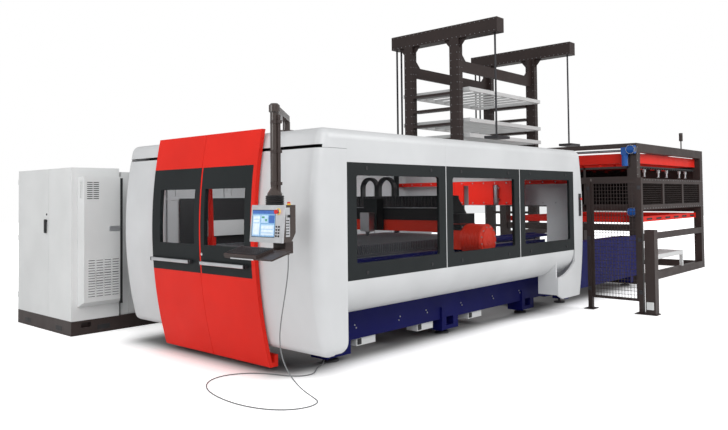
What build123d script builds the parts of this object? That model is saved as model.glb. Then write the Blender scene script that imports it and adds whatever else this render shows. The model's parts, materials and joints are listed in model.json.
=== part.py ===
from build123d import *
import os
from math import atan2, cos, degrees, radians, sin, sqrt, tan

# Laser cutting machine with operator panel, control cabinets, guard, loader and sheet store.
# Millimetres. The origin is the centre of the underside of the machine's near corner foot.
# X runs along the long side, away from the doors. Y runs across, away from the windows. Z is up.

# Cabin
CABIN_NEAR_Y = -682.0
CABIN_WIDTH = 3150.0
CABIN_TOP_Z = 2200.0
SKIN = 30.0
EDGE_RADIUS = 90.0
BOW_MID_Z = 1290.0
SHELL_BOW_RADIUS = 4100.0
FRONT_APEX_X = -843.0
FRONT_BOTTOM_Z = 230.0
CHEEK_CORNER_RADIUS = 130.0
FRONT_TOE_WIDTH = 110.0
FRONT_SEAM_X = -462.0
REAR_SEAM_X = 3928.0
REAR_APEX_X = 4257.0
REAR_BOTTOM_Z = 255.0
REAR_CORNER_RADIUS = 140.0
BAY_SPLIT_XS = (1014.0, 2507.0)
SEAM_GAP = 6.0
TOUCH_GAP = 0.3
BAND_BOTTOM_Z = 865.0
BAND_TOP_Z = 1905.0
CURL_RADIUS = 335.0
CABIN_FAR_Y = CABIN_NEAR_Y + CABIN_WIDTH
CABIN_MID_Y = CABIN_NEAR_Y + CABIN_WIDTH / 2
BAY_EDGES = (FRONT_SEAM_X, *BAY_SPLIT_XS, REAR_SEAM_X)
BAYS = tuple(zip(BAY_EDGES[:-1], BAY_EDGES[1:]))

# Side windows
WINDOW_SIDE_MARGIN = 122.0
WINDOW_BOTTOM_Z = 1010.0
WINDOW_TOP_Z = 1790.0
WINDOW_CORNER_RADIUS = 25.0
PANE_THICKNESS = 8.0
PANE_FIT = 0.3

# Cabin frame
TUBE = 60.0
SILL_INSET = 42.0
OUTRIGGER_INSET = 67.0

# Bed
BED_NEAR_Y = -122.0
BED_START_X = -522.0
BED_END_X = 4148.0
BED_BOTTOM_Z = 190.0
BED_BOX_WIDTH = 200.0
BED_BOX_HEIGHT = 300.0
BED_WALL_WIDTH = 100.0
BED_TOP_Z = 950.0
BED_CROSS_XS = (-522.0, 900.0, 2500.0, 3948.0)
BED_CROSS_LENGTH = 200.0
BED_CROSS_HEIGHT = 160.0
FOOT_XS = (0.0, 1847.0, 3659.0)
FOOT_PAD_RADIUS = 80.0
FOOT_PAD_HEIGHT = 22.0
FOOT_SPINDLE_RADIUS = 18.0
LEG_BLOCK_BOTTOM_Z = 60.0
LEG_BLOCK_START = -192.0
LEG_BLOCK_LENGTH = 350.0
LEG_FIN_THICKNESS = 13.0
LEG_FIN_PROUD = 22.0
LEG_FIN_TOP_Z = 328.0
FORK_POCKET_START = -76.0
FORK_POCKET_LENGTH = 136.0
FORK_POCKET_BOTTOM_Z = 105.0
FORK_POCKET_HEIGHT = 98.0
DRAWER_XS = (272.0, 1258.0, 2263.0)
DRAWER_SIZE = (288.0, 150.0, 82.0)
DRAWER_WALL = 6.0
BED_FAR_Y = 2 * CABIN_MID_Y - BED_NEAR_Y

# Pallet and its table
PALLET_START_X = -250.0
PALLET_LENGTH = 3100.0
PALLET_WIDTH = 1550.0
PALLET_RAIL_WIDTH = 60.0
RUNNER_TOP_Z = 850.0
RUNNER_DEPTH = 50.0
SLAT_BOTTOM_Z = 965.0
SLAT_HEIGHT = 120.0
SLAT_THICKNESS = 4.0
SLAT_PITCH = 62.0
TABLE_END_X = 7587.0
TABLE_BASE_BOTTOM_Z = 165.0
TABLE_BASE_TOP_Z = 250.0
TABLE_SIDE_TOP_Z = 865.0
TABLE_SIDE_THICKNESS = 30.0
TABLE_LEG_XS = (4816.0, 7300.0)
PALLET_NEAR_Y = CABIN_MID_Y - PALLET_WIDTH / 2
PALLET_FAR_Y = CABIN_MID_Y + PALLET_WIDTH / 2

# Bridge, carriage and head
RAIL_HEIGHT = 30.0
RAIL_WIDTH = 44.0
BRIDGE_X = 1980.0
BRIDGE_DEPTH = 200.0
BRIDGE_BOTTOM_Z = 1170.0
BRIDGE_TOP_Z = 1450.0
COVER_DEPTH = 190.0
COVER_HEIGHT = 150.0
COVER_FOLD = 50.0
COVER_FOLD_DEPTH = 14.0
SHOE_OVERHANG = 60.0
CHEEK_REACH = 120.0
CHEEK_DROP = 90.0
CHEEK_RISE = 60.0
DRIVE_RADIUS = 175.0
DRIVE_LENGTH = 420.0
DRIVE_EDGE = 12.0
DRIVE_FOOT_INSET = 25.0
DRIVE_Z = 1093.0
CARRIAGE_Y = 1008.0
CARRIAGE_WIDTH = 220.0
CARRIAGE_DEPTH = 130.0
CARRIAGE_MARGINS = (10.0, 30.0)
TONGUE_INSET = (30.0, 40.0)
HEAD_WIDTH = 150.0
HEAD_DEPTH = 110.0
HEAD_BOTTOM_Z = 1165.0
HEAD_TOP_Z = 1400.0
NOZZLE_TIP_Z = 1108.0
NOZZLE_RADIUS = 34.0
CHAIN_YS = (940.0, 1225.0)
CHAIN_ARC_RADIUS = 125.0
CHAIN_LINK_HEIGHT = 36.0
CHAIN_LINK_WIDTH = 64.0
CHAIN_ARC_LINKS = 11
CHAIN_LEG = 105.0

# Sliding doors
DOOR_SPLIT_Y = 913.0
DOOR_LEAF_WIDTH = 850.0
DOOR_TRAVEL = 680.0
DOOR_APEX_X = -893.0
DOOR_BOW_RADIUS = 4500.0
DOOR_THICKNESS = 42.0
DOOR_BOTTOM_Z = 52.0
DOOR_TOP_Z = 2228.0
DOOR_SPLIT_GAP = 4.0
DOOR_LIP_REACH = 99.4
DOOR_LIP_WALL = 40.0
DOOR_LIP_TOP_Z = 162.0
DOOR_LIP_FLOOR = 43.0
DOORWAY_OVERLAP = 100.0
DOOR_BAND_BOTTOM_Z = 870.0
DOOR_BAND_TOP_Z = 1900.0
DOOR_BAND_DEPTH = 10.0
DOOR_BAND_BORDER = 50.0
DOOR_SPLIT_BORDER = 20.0
DOOR_FOOT_RADIUS = 16.0
DOOR_REVEAL = 8.0
DOOR_GLASS_BOTTOM_Z = 1147.0
DOOR_GLASS_TOP_Z = 1690.0
DOOR_GLASS_WIDTH = 620.0
DOOR_GLASS_FROM_SPLIT = 85.0
DOOR_GLASS_DEPTH = 12.0
GROOVE_Z = 2035.0
GROOVE_HEIGHT = 30.0
GROOVE_END = 20.0
HANGER_THICKNESS = 12.0
HANGER_WIDTH = 90.0
HANGER_OFFSET = 260.0
RAIL_BAR = (40.0, 27.7)
RAIL_FRONT_X = -735.0
HANDLE_LENGTH = 700.0
HANDLE_Z = 975.0
HANDLE_SECTION = (24.0, 34.0)
HANDLE_REACH = 36.0
HANDLE_POST = 24.0
HANDLE_POST_INSET = 60.0
HANDLE_STARTS = (122.0, -748.0)

# Operator panel on its arm
ARM_BASE_X = -582.0
ARM_BASE_Y = -30.0
ARM_BASE_RADIUS = 75.0
ARM_BASE_HEIGHT = 95.0
ARM_FLANGE_HEIGHT = 18.0
ARM_NECK_RADIUS = 34.0
ARM_HEIGHT = 70.0
ARM_WIDTH = 62.0
ARM_DOME_RADIUS = 45.0
MAST_X = -1162.0
MAST_Y = -540.0
MAST_RADIUS = 30.0
MAST_RIB = 4.0
MAST_BOTTOM_Z = 1680.0
FLARE_RADIUS = 61.0
FLARE_EDGE = 14.0
BELLOWS_RADIUS = 73.0
BELLOWS_HEIGHT = 78.0
BELLOWS_FOLDS = 4
FOLD_DEPTH = 14.0
PANEL_WIDTH = 405.0
PANEL_FOOT_X = -1262.0
PANEL_LEAN = 27.0
PANEL_BOTTOM_Z = 1243.0
PANEL_TOP_Z = 1540.0
BEZEL_THICKNESS = 14.0
HOUSING_BACK_X = -1118.0
HOUSING_INSET = 4.0
HOUSING_SLOPE = (45.0, 70.0)
SIDE_PLATE = (42.0, 3.0, 230.0)
SIDE_PLATE_Z = 1290.0
SCREEN_WIDTH = 290.0
SCREEN_HEIGHT = 220.0
SCREEN_DEPTH = 4.0
SCREEN_SIDE_MARGIN = 17.0
SCREEN_FOOT_MARGIN = 39.0
SELECTOR_X = -1192.0
SELECTOR_Z = 1452.0
SELECTOR_GRIP = 6.0
PILOT_PLACE = (-1165.0, -712.0)
PILOT_RADIUS = 12.0
PILOT_HEIGHT = 26.0
STEM_X = (-1165.0, -1085.0)
STEM_Y = (-670.0, -520.0)
STEM_BOTTOM_Z = 1150.0
BRACKET_HEIGHT = 40.0
TRAY_FRONT = (-1505.0, 1128.0)
TRAY_TILT = 15.0
TRAY_THICKNESS = 12.0
TRAY_DEPTH = 200.0
TRAY_Y = (-906.0, -330.0)
KEYBOARD_DEPTH = 176.0
KEYBOARD_Y = (-725.0, -325.0)
KEYBOARD_THICKNESS = 22.0
STOP_FROM_SCREEN = (26.0, 14.0)
STOP_COLLAR_RADIUS = 22.0
STOP_RADIUS = 17.0
STOP_HEIGHT = 20.0
STOP_STROKE = 6.0
STOP_NECK_RADIUS = 8.5
STOP_NECK_DEPTH = 2.0
STOP_COLLAR_HEIGHT = 10.0
KNOB_RADIUS = 11.0
KNOB_HEIGHT = 14.0
MAST_TOP_Z = CABIN_TOP_Z + ARM_BASE_HEIGHT

# Cord from the keyboard tray to the bed, lying in a loop on the floor
CORD_DIAMETER = 10.0
CORD_ROUTE = (
    (-1112, -643, 1139.7), (-1112, -643, 1050), (-1113, -628, 940), (-1114, -604, 825),
    (-1115, -577, 710), (-1116, -551, 590), (-1115, -532, 470), (-1110, -539, 350),
    (-1098, -576, 240), (-1076, -640, 142), (-1042, -722, 62), (-1012, -812, 14),
    (-1040, -905, 5), (-1130, -950, 5), (-1240, -940, 5), (-1335, -886, 5),
    (-1408, -800, 5), (-1457, -695, 5), (-1486, -575, 5), (-1498, -450, 5),
    (-1494, -325, 5), (-1478, -200, 5), (-1451, -78, 5), (-1410, 40, 5),
    (-1349, 150, 5), (-1264, 245, 5), (-1155, 308, 5), (-1030, 320, 5),
    (-914, 275, 5), (-817, 194, 5), (-746, 89, 5), (-704, -31, 5),
    (-665, -150, 5), (-590, -240, 5), (-480, -258, 5), (-385, -190, 5),
    (-312, -128, 5), (-252, -98, 5), (-205, -82, 5), (-180.4, -75, 15.3),
    (-161.4, -69.5, 34.5), (-151.5, -66.6, 57.6),
)

# Control cabinets
PLINTH_X = -1102.0
PLINTH_LENGTH = 1800.0
CABINET_NEAR_Y = 3178.0
CABINET_WIDTH = 1520.0
CABINET_DEPTH = 600.0
CABINET_TOP_Z = 1980.0
PLINTH_HEIGHT = 170.0
CABINET_WALL = 20.0
CABINET_SPLIT = 620.0
CABINET_DOOR_THICKNESS = 22.0
CABINET_DOOR_SHEET = 3.0
CABINET_DOOR_GAP = 2.0
HINGE_RADIUS = 7.0
HINGE_LENGTH = 70.0
HINGE_ZS = (330.0, 1075.0, 1800.0)
CABINET_GAP = 42.0
CABINET_STEP = 25.0
CABINET_SEAM = (90.0, 8.0)
COOLER_START = 72.0
COOLER_LENGTH = 490.0
COOLER_DEPTH = 170.0
COOLER_BOTTOM_Z = 330.0
COOLER_TOP_Z = 1870.0
COOLER_SLANT = 70.0
LOUVRE_COLUMNS = 4
LOUVRE_ROWS = 9
LOUVRE_SLOT = (62.0, 8.0)
LOUVRE_PITCH = (84.0, 23.0)
LOUVRE_LOW_Z = 560.0
LOUVRE_DEPTH = 12.0
LOUVRE_START = 105.0
SIDE_VENTS = 6
SIDE_VENT = (70.0, 16.0)
SIDE_VENT_PITCH = 34.0
SIDE_VENT_DROP = 250.0
SIDE_VENT_INSET = 40.0
SWING_HANDLE = (30.0, 34.0, 170.0)
SWING_HANDLE_INSET = 30.0
SWING_BOSS_RADIUS = 14.0
SWING_BOSS_DROP = 22.0
SWING_HANDLE_Z = 1190.0
DUCT_START_X = 300.0
DUCT_LENGTH = 300.0
DUCT_HEIGHT = 190.0
DUCT_RISE = 20.0
DUCT_FOOT = 60.0
DUCT_FOOT_GAPS = (160.0, 1100.0)
PLINTH_SLOT_DEPTH = 60.0

# Rear gate, rear foot and button strip
GATE_X = 4040.0
GATE_BOTTOM_Z = 1460.0
GATE_TOP_Z = 1750.0
GATE_PLATES = 3
GATE_PLATE_WIDTH = 430.0
GATE_PLATE_PITCH = 520.0
GATE_THICKNESS = 20.0
REAR_SLOT_TOP_Z = 1450.0
REAR_SLOT_MARGIN = 10.0
REAR_FOOT_START_X = 3440.0
REAR_FOOT_RETURN_Y = -400.0
REAR_FOOT_CUT = (120.0, 55.0)
REAR_FOOT_SWEEP = 175.0
STRIP_X = 4075.0
STRIP_WIDTH = 60.0
STRIP_Z = 1310.0
STRIP_HEIGHT = 300.0
STRIP_THICKNESS = 10.0
STRIP_STOP_DROP = 70.0
STRIP_CAP_DROPS = (150.0, 210.0)
STRIP_CAP = (12.0, 8.0)

# Guard fence and light column
GUARD_X = 4570.0
GUARD_TUBE = 60.0
GUARD_NEAR_Y = -1350.0
GUARD_FAR_Y = -580.0
GUARD_TOP_Z = 1820.0
GUARD_PANEL_BOTTOM_Z = 160.0
GUARD_PANEL_TOP_Z = 1780.0
GUARD_PANEL_BAR = 30.0
GUARD_PLATE = 10.0
GUARD_PLATE_SIZE = (180.0, 140.0)
ANCHOR_SPACING = (140.0, 100.0)
ANCHOR_HOLE_RADIUS = 7.0
GUARD_MESH_COLUMNS = 7
GUARD_MESH_ROWS = 16
GUARD_WIRE = 6.0
GUARD_WIRE_THICKNESS = 4.0
LIGHT_COLUMN = 130.0
LIGHT_COLUMN_FOOT = 20.0
LIGHT_COLUMN_GAP = 40.0
LIGHT_COLUMN_TOP_Z = 1120.0

# Loader
LOADER_START_X = 7587.0
LOADER_LENGTH = 3750.0
LOADER_NEAR_Y = -142.0
LOADER_WIDTH = 2812.0
LOADER_TOP_Z = 2510.0
LOADER_POST_X = 170.0
LOADER_POST_Y = 150.0
LOADER_BEAM = 80.0
LOADER_BEAM_DEPTH = 110.0
LOADER_BIN_DEPTH = 60.0
LOADER_SIDE_BEAM = 160.0
LOADER_BASE_TOP_Z = 140.0
LOADER_MID_Z = (1795.0, 1915.0)
LOADER_BIN_Z = (750.0, 870.0)
LOADER_PANEL_Z = (1310.0, 1880.0)
LOADER_PANEL_BAR = 90.0
LOADER_PANEL_FIELDS = 3
SUCTION_Z = 2160.0
SUCTION_HEIGHT = 180.0
SUCTION_TUBE = 90.0
SUCTION_CUP_COLUMNS = 6
SUCTION_CUP_ROWS = 3
SUCTION_CUP_RADIUS = 45.0
SUCTION_CUP_HEIGHT = 60.0
UNLOAD_Z = 1080.0
UNLOAD_HEIGHT = 100.0
UNLOAD_RUNGS = 4
FRAME_INSET = 112.0
SHAFT_Z = 2390.0
SHAFT_RADIUS = 24.0
SHAFT_CLEARANCE = 20.0
MOTOR_RADIUS = 75.0
MOTOR_LENGTH = 130.0
MOTOR_INSET = 60.0
MOTOR_FLANGE = (60.0, 100.0, 120.0)
LOW_MOTOR_Z = 1280.0
GEARBOX = (130.0, 100.0, 130.0)
GEARBOX_OFFSET = 70.0
GEARBOX_DROP = 90.0
GEAR_MOTOR_RADIUS = 55.0
GEAR_MOTOR_LENGTH = 200.0
LAMP_X = 10150.0
LAMP_HEIGHT = 330.0
LAMP_STEM_RADIUS = 12.0
LAMP_HEAD_RADIUS = 36.0
LOADER_END_X = LOADER_START_X + LOADER_LENGTH
LOADER_FAR_Y = LOADER_NEAR_Y + LOADER_WIDTH

# Sheet store
STORE_XS = (7587.0, 10910.0)
STORE_POST_YS = (3630.0, 4890.0)
STORE_POST = (150.0, 240.0)
STORE_TOP_Z = 5000.0
STORE_BEAM = (276.0, 300.0)
STORE_BEAM_NEAR_Y = 2670.0
STORE_BEAM_FAR_Y = 5500.0
STORE_CROSS_Z = (4320.0, 4560.0)
STORE_CROSS_THICKNESS = 60.0
STORE_GUSSET = (90.0, 110.0, 260.0)
SHELF_LOW_Z = 460.0
SHELF_PITCH = 335.0
SHELF_LEVELS = 11
SHELF_HEIGHT = 55.0
SHELF_REACH = 70.0
CASSETTE_LEVELS = (7, 8, 10)
CASSETTE_HEIGHT = 85.0
CASSETTE_BAR = 50.0
CASSETTE_RIBS = 7
CASSETTE_OVERHANG = 160.0
CASSETTE_CLEARANCE = 12.0
CARRIER_START = 700.0
CARRIER_LENGTH = 1700.0
CARRIER_LEG = 60.0
CARRIER_LEG_HEIGHT = 230.0
CHAIN_BAR = (40.0, 24.0)
LIFT_CHAIN_YS = (2790.0, 5310.0, 5440.0)
LIFT_CHAIN_BOTTOM_Z = 2830.0
LIFT_PLATE = (480.0, 320.0, 55.0)


def block(x, y, z):
    """Box between its lowest and highest X, Y and Z."""
    size = Box(x[1] - x[0], y[1] - y[0], z[1] - z[0])
    return Pos((x[0] + x[1]) / 2, (y[0] + y[1]) / 2, (z[0] + z[1]) / 2) * size


def prism_x(face, x0, x1):
    """Prism of a face drawn in Y and Z."""
    return extrude(Plane.YZ.offset(x0) * face, amount=x1 - x0, dir=(1, 0, 0))


def prism_y(face, y0, y1):
    """Prism of a face drawn in X and Z."""
    return extrude(Plane.XZ.offset(-y0) * face, amount=y1 - y0, dir=(0, 1, 0))


def prism_z(face, z0, z1):
    """Prism of a face drawn in X and Y."""
    return extrude(Pos(0, 0, z0) * face, amount=z1 - z0, dir=(0, 0, 1))


def polygon(*points):
    """Face through points in the drawing plane."""
    return Polygon(*points, align=None)


def span(start, length):
    """Start and end of a length."""
    return (start, start + length)


def standing(radius, height, x, y, z):
    """Upright cylinder that stands at a point."""
    return Pos(x, y, z) * Cylinder(radius, height, align=(Align.CENTER, Align.CENTER, Align.MIN))


def hanging(radius, height, x, y, z):
    """Upright cylinder that hangs from a point."""
    return Pos(x, y, z) * Cylinder(radius, height, align=(Align.CENTER, Align.CENTER, Align.MAX))


def group(solids):
    """Separate solids kept together in one node."""
    return Compound(children=[s for part in solids for s in part.solids()])


def across(part):
    """Copy of a part on the other side of the cabin's middle."""
    return mirror(part, about=Plane.XZ.offset(-CABIN_MID_Y))


def bow_x(apex_x, radius, z):
    """X of a bowed wall at height z; a negative radius bows towards +X."""
    rise = abs(radius) - sqrt(radius ** 2 - (z - BOW_MID_Z) ** 2)
    return apex_x + rise if radius > 0 else apex_x - rise


def bow_arc(apex_x, radius, z0, z1, shift=0.0):
    """Arc of a bowed wall from height z0 to z1, moved in X by shift."""
    heights = (z0, (z0 + z1) / 2, z1)
    return ThreePointArc(*[(bow_x(apex_x, radius, z) + shift, z) for z in heights])


def bow_strip(apex_x, radius, depth, z0, z1, start=0.0):
    """Wall of a bowed sheet between two depths behind its face."""
    outer = bow_arc(apex_x, radius, z0, z1, start)
    inner = bow_arc(apex_x, radius, z0, z1, start + depth)
    return make_face([outer, Line(outer @ 1, inner @ 1), inner, Line(inner @ 0, outer @ 0)])


def bow_block(apex_x, radius, back_x, z0, z1, shift=0.0):
    """Area between a bowed wall and a straight back."""
    wall = bow_arc(apex_x, radius, z0, z1, shift)
    top = Line(wall @ 1, (back_x, z1))
    back = Line((back_x, z1), (back_x, z0))
    return make_face([wall, top, back, Line((back_x, z0), wall @ 0)])


def near_edges(part, axis, rule):
    """Edges that run along an axis or in its plane and pass a test on their middle."""
    return [e for e in part.edges() if axis(e) and rule(e.center())]


def along_y(edge):
    """Whether an edge is straight and runs along Y."""
    return edge.geom_type == GeomType.LINE and abs(edge.tangent_at(0.5).Y) > 0.999


def bowed(edge):
    """Whether an edge follows a bowed wall."""
    return edge.geom_type == GeomType.CIRCLE and edge.radius > CABIN_TOP_Z


# Front and rear shells of the cabin


def rounded_front(z0, z1, inset):
    """Solid of the cabin's front end between two heights, rounded at its outer corners."""
    y0 = CABIN_NEAR_Y + inset
    y1 = CABIN_FAR_Y - inset
    radius = EDGE_RADIUS - inset
    body = prism_y(bow_block(FRONT_APEX_X, SHELL_BOW_RADIUS, FRONT_SEAM_X, z0, z1, inset), y0, y1)
    body = fillet(near_edges(body, bowed, lambda c: True), radius)
    return body


def front_wall_panel(y0, y1):
    """Bowed front panel with its cheek round the corner, from the toe to the groove."""
    top_z = GROOVE_Z - GROOVE_HEIGHT / 2
    outer = rounded_front(FRONT_BOTTOM_Z, top_z, 0.0)
    toe = near_edges(outer, along_y, lambda c: c.Z < FRONT_BOTTOM_Z + 1 and c.X < FRONT_SEAM_X - 1)
    outer = fillet(toe, EDGE_RADIUS)
    inner = rounded_front(FRONT_BOTTOM_Z + SKIN, top_z + SKIN, SKIN)
    panel = outer - inner - Pos(SKIN, 0, 0) * inner
    toe_x = bow_x(FRONT_APEX_X, SHELL_BOW_RADIUS, FRONT_BOTTOM_Z) + FRONT_TOE_WIDTH
    under = (FRONT_BOTTOM_Z - 1, FRONT_BOTTOM_Z + SKIN + 1)
    panel -= block((toe_x, FRONT_SEAM_X + 1), (CABIN_NEAR_Y + SKIN, CABIN_FAR_Y - SKIN), under)
    side = polygon((FRONT_APEX_X - 1, 0), (FRONT_APEX_X - 1, CABIN_TOP_Z), (FRONT_SEAM_X, CABIN_TOP_Z),
                   (FRONT_SEAM_X, FRONT_BOTTOM_Z), (FRONT_SEAM_X - CHEEK_CORNER_RADIUS, FRONT_BOTTOM_Z),
                   (FRONT_SEAM_X - CHEEK_CORNER_RADIUS, 0))
    corner = [v for v in side.vertices() if v.X > FRONT_SEAM_X - 1 and v.Y < FRONT_BOTTOM_Z + 1]
    return panel & prism_y(fillet(corner, CHEEK_CORNER_RADIUS - 1), y0, y1)


def front_panels():
    """Two bowed panels, one on each side of the doorway."""
    doorway_y0 = DOOR_SPLIT_Y - DOOR_LEAF_WIDTH + DOORWAY_OVERLAP
    doorway_y1 = DOOR_SPLIT_Y + DOOR_LEAF_WIDTH - DOORWAY_OVERLAP
    return group([front_wall_panel(CABIN_NEAR_Y, doorway_y0), front_wall_panel(doorway_y1, CABIN_FAR_Y)])


def front_header():
    """Hood over the doors with the front strip of the roof, and its corners beside the groove."""
    z0 = GROOVE_Z + GROOVE_HEIGHT / 2
    hoods = []
    for inset in (0.0, SKIN):
        body = rounded_front(z0 - inset, CABIN_TOP_Z - inset, inset)
        top = CABIN_TOP_Z - inset - 1
        rim = near_edges(body, lambda e: True, lambda c: c.Z > top and c.X < FRONT_SEAM_X - 1)
        hoods.append(fillet(rim, EDGE_RADIUS - inset))
    hood = hoods[0] - hoods[1]
    seam_side = (FRONT_SEAM_X - SKIN, FRONT_SEAM_X + 1)
    inside_y = (CABIN_NEAR_Y + SKIN, CABIN_FAR_Y - SKIN)
    hood -= block(seam_side, inside_y, (z0 - SKIN - 1, CABIN_TOP_Z - EDGE_RADIUS))
    corner_z = z0 - GROOVE_HEIGHT + SEAM_GAP / 2
    ring = rounded_front(corner_z, z0, 0.0) - rounded_front(corner_z - SKIN, z0 + SKIN, SKIN)
    ring -= block(seam_side, inside_y, (corner_z - 1, z0 + 1))
    groove_y = (CABIN_NEAR_Y + GROOVE_END, CABIN_FAR_Y - GROOVE_END)
    corners = ring - block((FRONT_APEX_X - 1, FRONT_SEAM_X), groove_y, (corner_z - 1, z0 + 1))
    return group([hood, corners])


def rear_end_shell():
    """Hood over the far end with the pallet's way through and a foot under the near side."""
    hoods = []
    for inset in (0.0, SKIN):
        low_z = REAR_BOTTOM_Z - inset
        face = bow_block(REAR_APEX_X, -SHELL_BOW_RADIUS, REAR_SEAM_X - inset, low_z,
                         CABIN_TOP_Z - inset, -inset)
        body = prism_y(face, CABIN_NEAR_Y + inset, CABIN_FAR_Y - inset)
        rim = near_edges(body, bowed, lambda c: True)
        top = CABIN_TOP_Z - inset - 1
        rim += near_edges(body, lambda e: not bowed(e),
                          lambda c: c.Z > top and c.X > REAR_SEAM_X - inset + 1)
        hoods.append(fillet(rim, EDGE_RADIUS - inset))
    shell = hoods[0] - hoods[1] - rear_corner()
    way_y = (BED_NEAR_Y - REAR_SLOT_MARGIN, BED_FAR_Y + REAR_SLOT_MARGIN)
    shell -= block((REAR_SEAM_X - SKIN, REAR_APEX_X + 1), way_y, (REAR_BOTTOM_Z - SKIN, REAR_SLOT_TOP_Z))
    whole_x = (REAR_SEAM_X - SKIN, REAR_APEX_X + 1)
    whole_y = (CABIN_NEAR_Y - 1, CABIN_FAR_Y + 1)
    top = shell & block(whole_x, whole_y, (REAR_SLOT_TOP_Z, CABIN_TOP_Z + 1))
    legs = shell & block(whole_x, whole_y, (REAR_BOTTOM_Z - 1, REAR_SLOT_TOP_Z))
    near_leg = legs & block(whole_x, (CABIN_NEAR_Y - 1, CABIN_MID_Y), (0, CABIN_TOP_Z))
    far_leg = legs & block(whole_x, (CABIN_MID_Y, CABIN_FAR_Y + 1), (0, CABIN_TOP_Z))
    return group([top, near_leg + rear_foot(), far_leg])


def rear_corner():
    """Waste outside the rear end's rounded lower corner, wider than the cabin."""
    face = bow_block(REAR_APEX_X, -SHELL_BOW_RADIUS, REAR_SEAM_X - SKIN, REAR_BOTTOM_Z, CABIN_TOP_Z)
    low_x = bow_x(REAR_APEX_X, -SHELL_BOW_RADIUS, REAR_BOTTOM_Z)
    corner = [v for v in face.vertices() if v.X > low_x - 1 and v.Y < REAR_BOTTOM_Z + 1]
    rounded = fillet(corner, REAR_CORNER_RADIUS)
    curve = min([e for e in rounded.edges() if e.geom_type == GeomType.CIRCLE], key=lambda e: e.radius)
    high, low = sorted((curve @ 0, curve @ 1), key=lambda p: -p.Y)
    out_x, out_z = REAR_APEX_X + 1, REAR_BOTTOM_Z - 1
    sides = Polyline((high.X, high.Y), (out_x, high.Y), (out_x, out_z), (low.X, out_z), (low.X, low.Y))
    waste = make_face([*sides.edges(), curve])
    return prism_y(waste, CABIN_NEAR_Y - 1, CABIN_FAR_Y + 1)


def rear_foot():
    """Cheek plate under the last side panel, with its return wall, cut round the curled panel."""
    x = (REAR_FOOT_START_X, REAR_SEAM_X)
    cut_x, cut_z = REAR_FOOT_CUT
    curl_z = BAND_BOTTOM_Z - CURL_RADIUS
    sweep = ThreePointArc((x[0], curl_z), (x[0] + 0.6 * (x[1] - x[0]), curl_z + 0.36 * REAR_FOOT_SWEEP),
                          (x[1], curl_z + REAR_FOOT_SWEEP))
    outline = Polyline(sweep @ 1, (x[1], REAR_BOTTOM_Z), (x[0] + cut_x, REAR_BOTTOM_Z),
                       (x[0], REAR_BOTTOM_Z + cut_z), sweep @ 0)
    plate = prism_y(make_face([sweep, *outline.edges()]), CABIN_NEAR_Y, CABIN_NEAR_Y + SKIN)
    wall = block(span(x[0], SKIN), (CABIN_NEAR_Y + SKIN, REAR_FOOT_RETURN_Y),
                 (REAR_BOTTOM_Z + cut_z, BAND_BOTTOM_Z))
    curl = Pos(CABIN_NEAR_Y + CURL_RADIUS, BAND_BOTTOM_Z) * Circle(CURL_RADIUS + TOUCH_GAP)
    return plate + (wall - prism_x(curl, x[0] - 1, x[1] + 1))


# Roof, side panels and windows of the cabin


def roof_panels():
    """Three hoods over the top, down to the window band on both sides."""
    faces = []
    for inset in (0.0, SKIN):
        low, high = BAND_TOP_Z, CABIN_TOP_Z - inset
        near, far = CABIN_NEAR_Y + inset, CABIN_FAR_Y - inset
        face = polygon((near, low), (near, high), (far, high), (far, low))
        faces.append(fillet(face.vertices().group_by(Axis.Y)[-1], EDGE_RADIUS - inset))
    section = faces[0] - faces[1]
    return group([prism_x(section, x0 + TOUCH_GAP, x1 - TOUCH_GAP) for x0, x1 in BAYS])


def lower_panels():
    """Panels under the window band that curl in under the cabin, one on each side."""
    centre = (CABIN_NEAR_Y + CURL_RADIUS, BAND_BOTTOM_Z)
    outer = CenterArc(centre, CURL_RADIUS, 180, 90)
    inner = CenterArc(centre, CURL_RADIUS - SKIN, 180, 90)
    curl = make_face([outer, Line(outer @ 1, inner @ 1), inner, Line(inner @ 0, outer @ 0)])
    panel = prism_x(curl, FRONT_SEAM_X + TOUCH_GAP, REAR_SEAM_X - SKIN - TOUCH_GAP)
    return group([panel, across(panel)])


def far_wall_panels():
    """Closed panels that fill the band on the far side."""
    y = (CABIN_FAR_Y - SKIN, CABIN_FAR_Y)
    gap = SEAM_GAP / 2
    z = (BAND_BOTTOM_Z + TOUCH_GAP, BAND_TOP_Z - TOUCH_GAP)
    return group([block((x0 + gap, x1 - gap), y, z) for x0, x1 in BAYS])


def window_outline(x0, x1, shrink=0.0):
    """Rounded outline of the glass in one bay."""
    width = x1 - x0 - 2 * WINDOW_SIDE_MARGIN - 2 * shrink
    height = WINDOW_TOP_Z - WINDOW_BOTTOM_Z - 2 * shrink
    centre = Pos((x0 + x1) / 2, (WINDOW_BOTTOM_Z + WINDOW_TOP_Z) / 2)
    return centre * RectangleRounded(width, height, WINDOW_CORNER_RADIUS - shrink)


def window_frames():
    """Dark service panels of the near side, one for each bay, open for the glass."""
    z = (BAND_BOTTOM_Z + TOUCH_GAP, BAND_TOP_Z - TOUCH_GAP)
    y = (CABIN_NEAR_Y, CABIN_NEAR_Y + SKIN)
    frames = []
    for x0, x1 in BAYS:
        frame = block((x0 + SEAM_GAP, x1 - SEAM_GAP), y, z)
        frames.append(frame - prism_y(window_outline(x0, x1), y[0] - 1, y[1] + 1))
    return group(frames)


def window_panes():
    y0 = CABIN_NEAR_Y + SKIN / 2
    return group([prism_y(window_outline(*bay, PANE_FIT), y0, y0 + PANE_THICKNESS) for bay in BAYS])


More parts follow.
